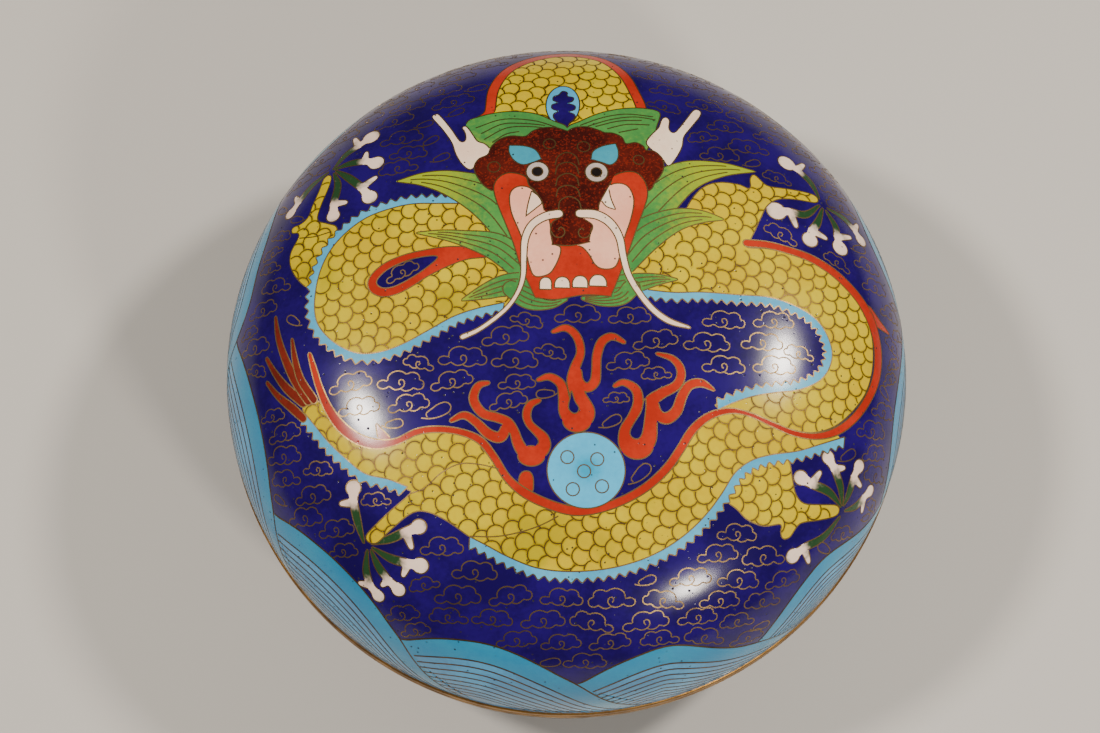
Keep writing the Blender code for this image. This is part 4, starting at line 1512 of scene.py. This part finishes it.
def rim_section(inner, outer, base, top, rounding=0.7, steps=5):
    """The half section of a rim, (r, z) in millimetres, with rounded outer edges."""
    corner = np.radians(np.linspace(90, 0, steps))
    upper = [(outer - rounding * (1 - math.cos(a)), top - rounding * (1 - math.sin(a))) for a in corner]
    lower = [(r, base + top - z) for r, z in upper[::-1]]
    return [(inner, top)] + upper + lower + [(inner, base)]


class CLOISONNE_OT_brass(bpy.types.Operator):
    """Make the brass rims and the foot ring"""

    bl_idname = "cloisonne.brass"
    bl_label = "Brass"

    def execute(self, context):
        material = finishes()["rim"]
        top = LID_RIM_BASE + RIM_HEIGHT
        section = rim_section(RIM_INNER, RIM_OUTER, LID_RIM_BASE, top)
        keep(turned("lid_brass_rim", section, RIM_STEPS, material), "gilt_brass", "lid_rim")
        top = BOWL_RIM_BASE + RIM_HEIGHT
        collar_top = top + COLLAR_HEIGHT
        section = [(COLLAR_INNER, collar_top), (COLLAR_OUTER, collar_top), (COLLAR_OUTER, top)]
        section += rim_section(COLLAR_INNER, RIM_OUTER, BOWL_RIM_BASE, top)[1:]
        keep(turned("bowl_brass_rim", section, RIM_STEPS, material), "gilt_brass", "bowl_rim")

        def under(radius):
            """The height of the foot's top below the bowl at a radius."""
            return float(np.interp(radius, BOWL_DOME.across, BOWL_DOME.up)) - SEAM

        section = [
            (FOOT_INNER, under(FOOT_INNER)), (FOOT_OUTER, under(FOOT_OUTER)), (FOOT_OUTER, FOOT_FLARE_HEIGHT),
            (FOOT_OUTER + FOOT_FLARE, 0.0), (FOOT_INNER + FOOT_FLARE, 0.0), (FOOT_INNER, FOOT_FLARE_HEIGHT),
        ]
        keep(turned("foot", section, LINING_STEPS, material), "gilt_brass", "foot_ring")
        return {"FINISHED"}


def camera_axes():
    """(forward, right, up) of the photographed view."""
    level = math.cos(CAMERA_PITCH)
    forward = Vector((math.sin(CAMERA_YAW) * level, math.cos(CAMERA_YAW) * level, -math.sin(CAMERA_PITCH)))
    right = forward.cross(Vector((0, 0, 1))).normalized()
    return forward, right, right.cross(forward)


def mirrored_from(pixel, away):
    """(place, aim) of a light whose reflection in the lid shows at that pixel of the picture."""
    forward, right, up = camera_axes()
    eye = Vector((0.0, CAMERA_FORWARD * MM, (LID_BASE + CAMERA_ABOVE) * MM))
    across, down = pixel[0] - PICTURE_SIZE[0] / 2, pixel[1] - PICTURE_SIZE[1] / 2
    ray = forward * FOCAL_PIXELS + right * across - up * down
    ray.normalize()
    crown = (LID_BASE + LID_HEIGHT) * MM
    for step in range(4000):
        spot = eye + ray * (0.35 + step * 0.0001)
        far = math.hypot(spot.x, spot.y) / MM
        surface = float(np.interp(far, LID_DOME.across, LID_DOME.up)) * MM
        if spot.z < min(surface, crown):
            break
    s = float(np.interp(far, LID_DOME.across, LID_DOME.run))
    plan = np.array([[spot.x, spot.y]]) / (far * MM) * s
    normal = Vector(LID_DOME.place(plan)[1][0])
    bounce = ray - 2 * ray.dot(normal) * normal
    return spot + bounce * away, spot


class CLOISONNE_OT_stage(bpy.types.Operator):
    """Make the pale floor, the soft lights and the camera"""

    bl_idname = "cloisonne.stage"
    bl_label = "Stage"

    def execute(self, context):
        scene = context.scene
        mesh = bpy.data.meshes.new("floor")
        half = FLOOR_HALF
        corners = [(-half, -half, 0), (half, -half, 0), (half, half, 0), (-half, half, 0)]
        mesh.from_pydata(corners, [], [(0, 1, 2, 3)])
        floor = linked("floor", mesh)
        material, _, shader, _ = new_material("pale floor")
        shader.inputs["Base Color"].default_value = rgba(linear(196, 192, 186))
        shader.inputs["Roughness"].default_value = 0.85
        mesh.materials.append(material)
        world = bpy.data.worlds.new("soft room")
        world.use_nodes = True
        back = world.node_tree.nodes["Background"]
        back.inputs["Color"].default_value = ROOM_COLOUR
        back.inputs["Strength"].default_value = ROOM_STRENGTH
        scene.world = world
        for name, (pixel, power, size) in LAMPS.items():
            spot, aim = mirrored_from(pixel, LAMP_DISTANCE)
            data = bpy.data.lights.new(name, "AREA")
            data.shape = "DISK"
            data.size = size
            data.energy = power
            data.color = LAMP_COLOUR
            light = bpy.data.objects.new(name, data)
            scene.collection.objects.link(light)
            light.location = spot
            light.rotation_mode = "QUATERNION"
            light.rotation_quaternion = (Vector(aim) - spot).to_track_quat("-Z", "Y")
        data = bpy.data.cameras.new("camera")
        data.sensor_width = SENSOR_WIDTH
        data.lens = SENSOR_WIDTH * FOCAL_PIXELS / PICTURE_SIZE[0]
        data.clip_start = 0.01
        camera = bpy.data.objects.new("camera", data)
        scene.collection.objects.link(camera)
        camera.location = (0.0, CAMERA_FORWARD * MM, (LID_BASE + CAMERA_ABOVE) * MM)
        camera.rotation_mode = "QUATERNION"
        camera.rotation_quaternion = camera_axes()[0].to_track_quat("-Z", "Y")
        scene.camera = camera
        return {"FINISHED"}


class CLOISONNE_PT_panel(bpy.types.Panel):
    """Lists the box's sizes, colours and pieces"""

    bl_idname = "CLOISONNE_PT_panel"
    bl_label = "Cloisonne Box"
    bl_space_type = "VIEW_3D"
    bl_region_type = "UI"
    bl_category = "Enamel"

    def draw(self, context):
        layout = self.layout
        for name in BoxSettings.__annotations__:
            layout.prop(context.scene.cloisonne_box, name)
        for operator in OPERATORS:
            layout.operator(operator.bl_idname)


OPERATORS = (CLOISONNE_OT_lid_enamel, CLOISONNE_OT_lid_wires, CLOISONNE_OT_bowl, CLOISONNE_OT_brass,
             CLOISONNE_OT_stage)
CLASSES = (BoxSettings, *OPERATORS, CLOISONNE_PT_panel)


def register():
    for cls in CLASSES:
        bpy.utils.register_class(cls)
    bpy.types.Scene.cloisonne_box = bpy.props.PointerProperty(type=BoxSettings)


def unregister():
    del bpy.types.Scene.cloisonne_box
    for cls in reversed(CLASSES):
        bpy.utils.unregister_class(cls)


def main():
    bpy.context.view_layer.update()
    register()
    bpy.ops.cloisonne.lid_enamel()
    bpy.ops.cloisonne.lid_wires()
    bpy.ops.cloisonne.bowl()
    bpy.ops.cloisonne.brass()
    bpy.ops.cloisonne.stage()


if __name__ == "__main__":
    main()
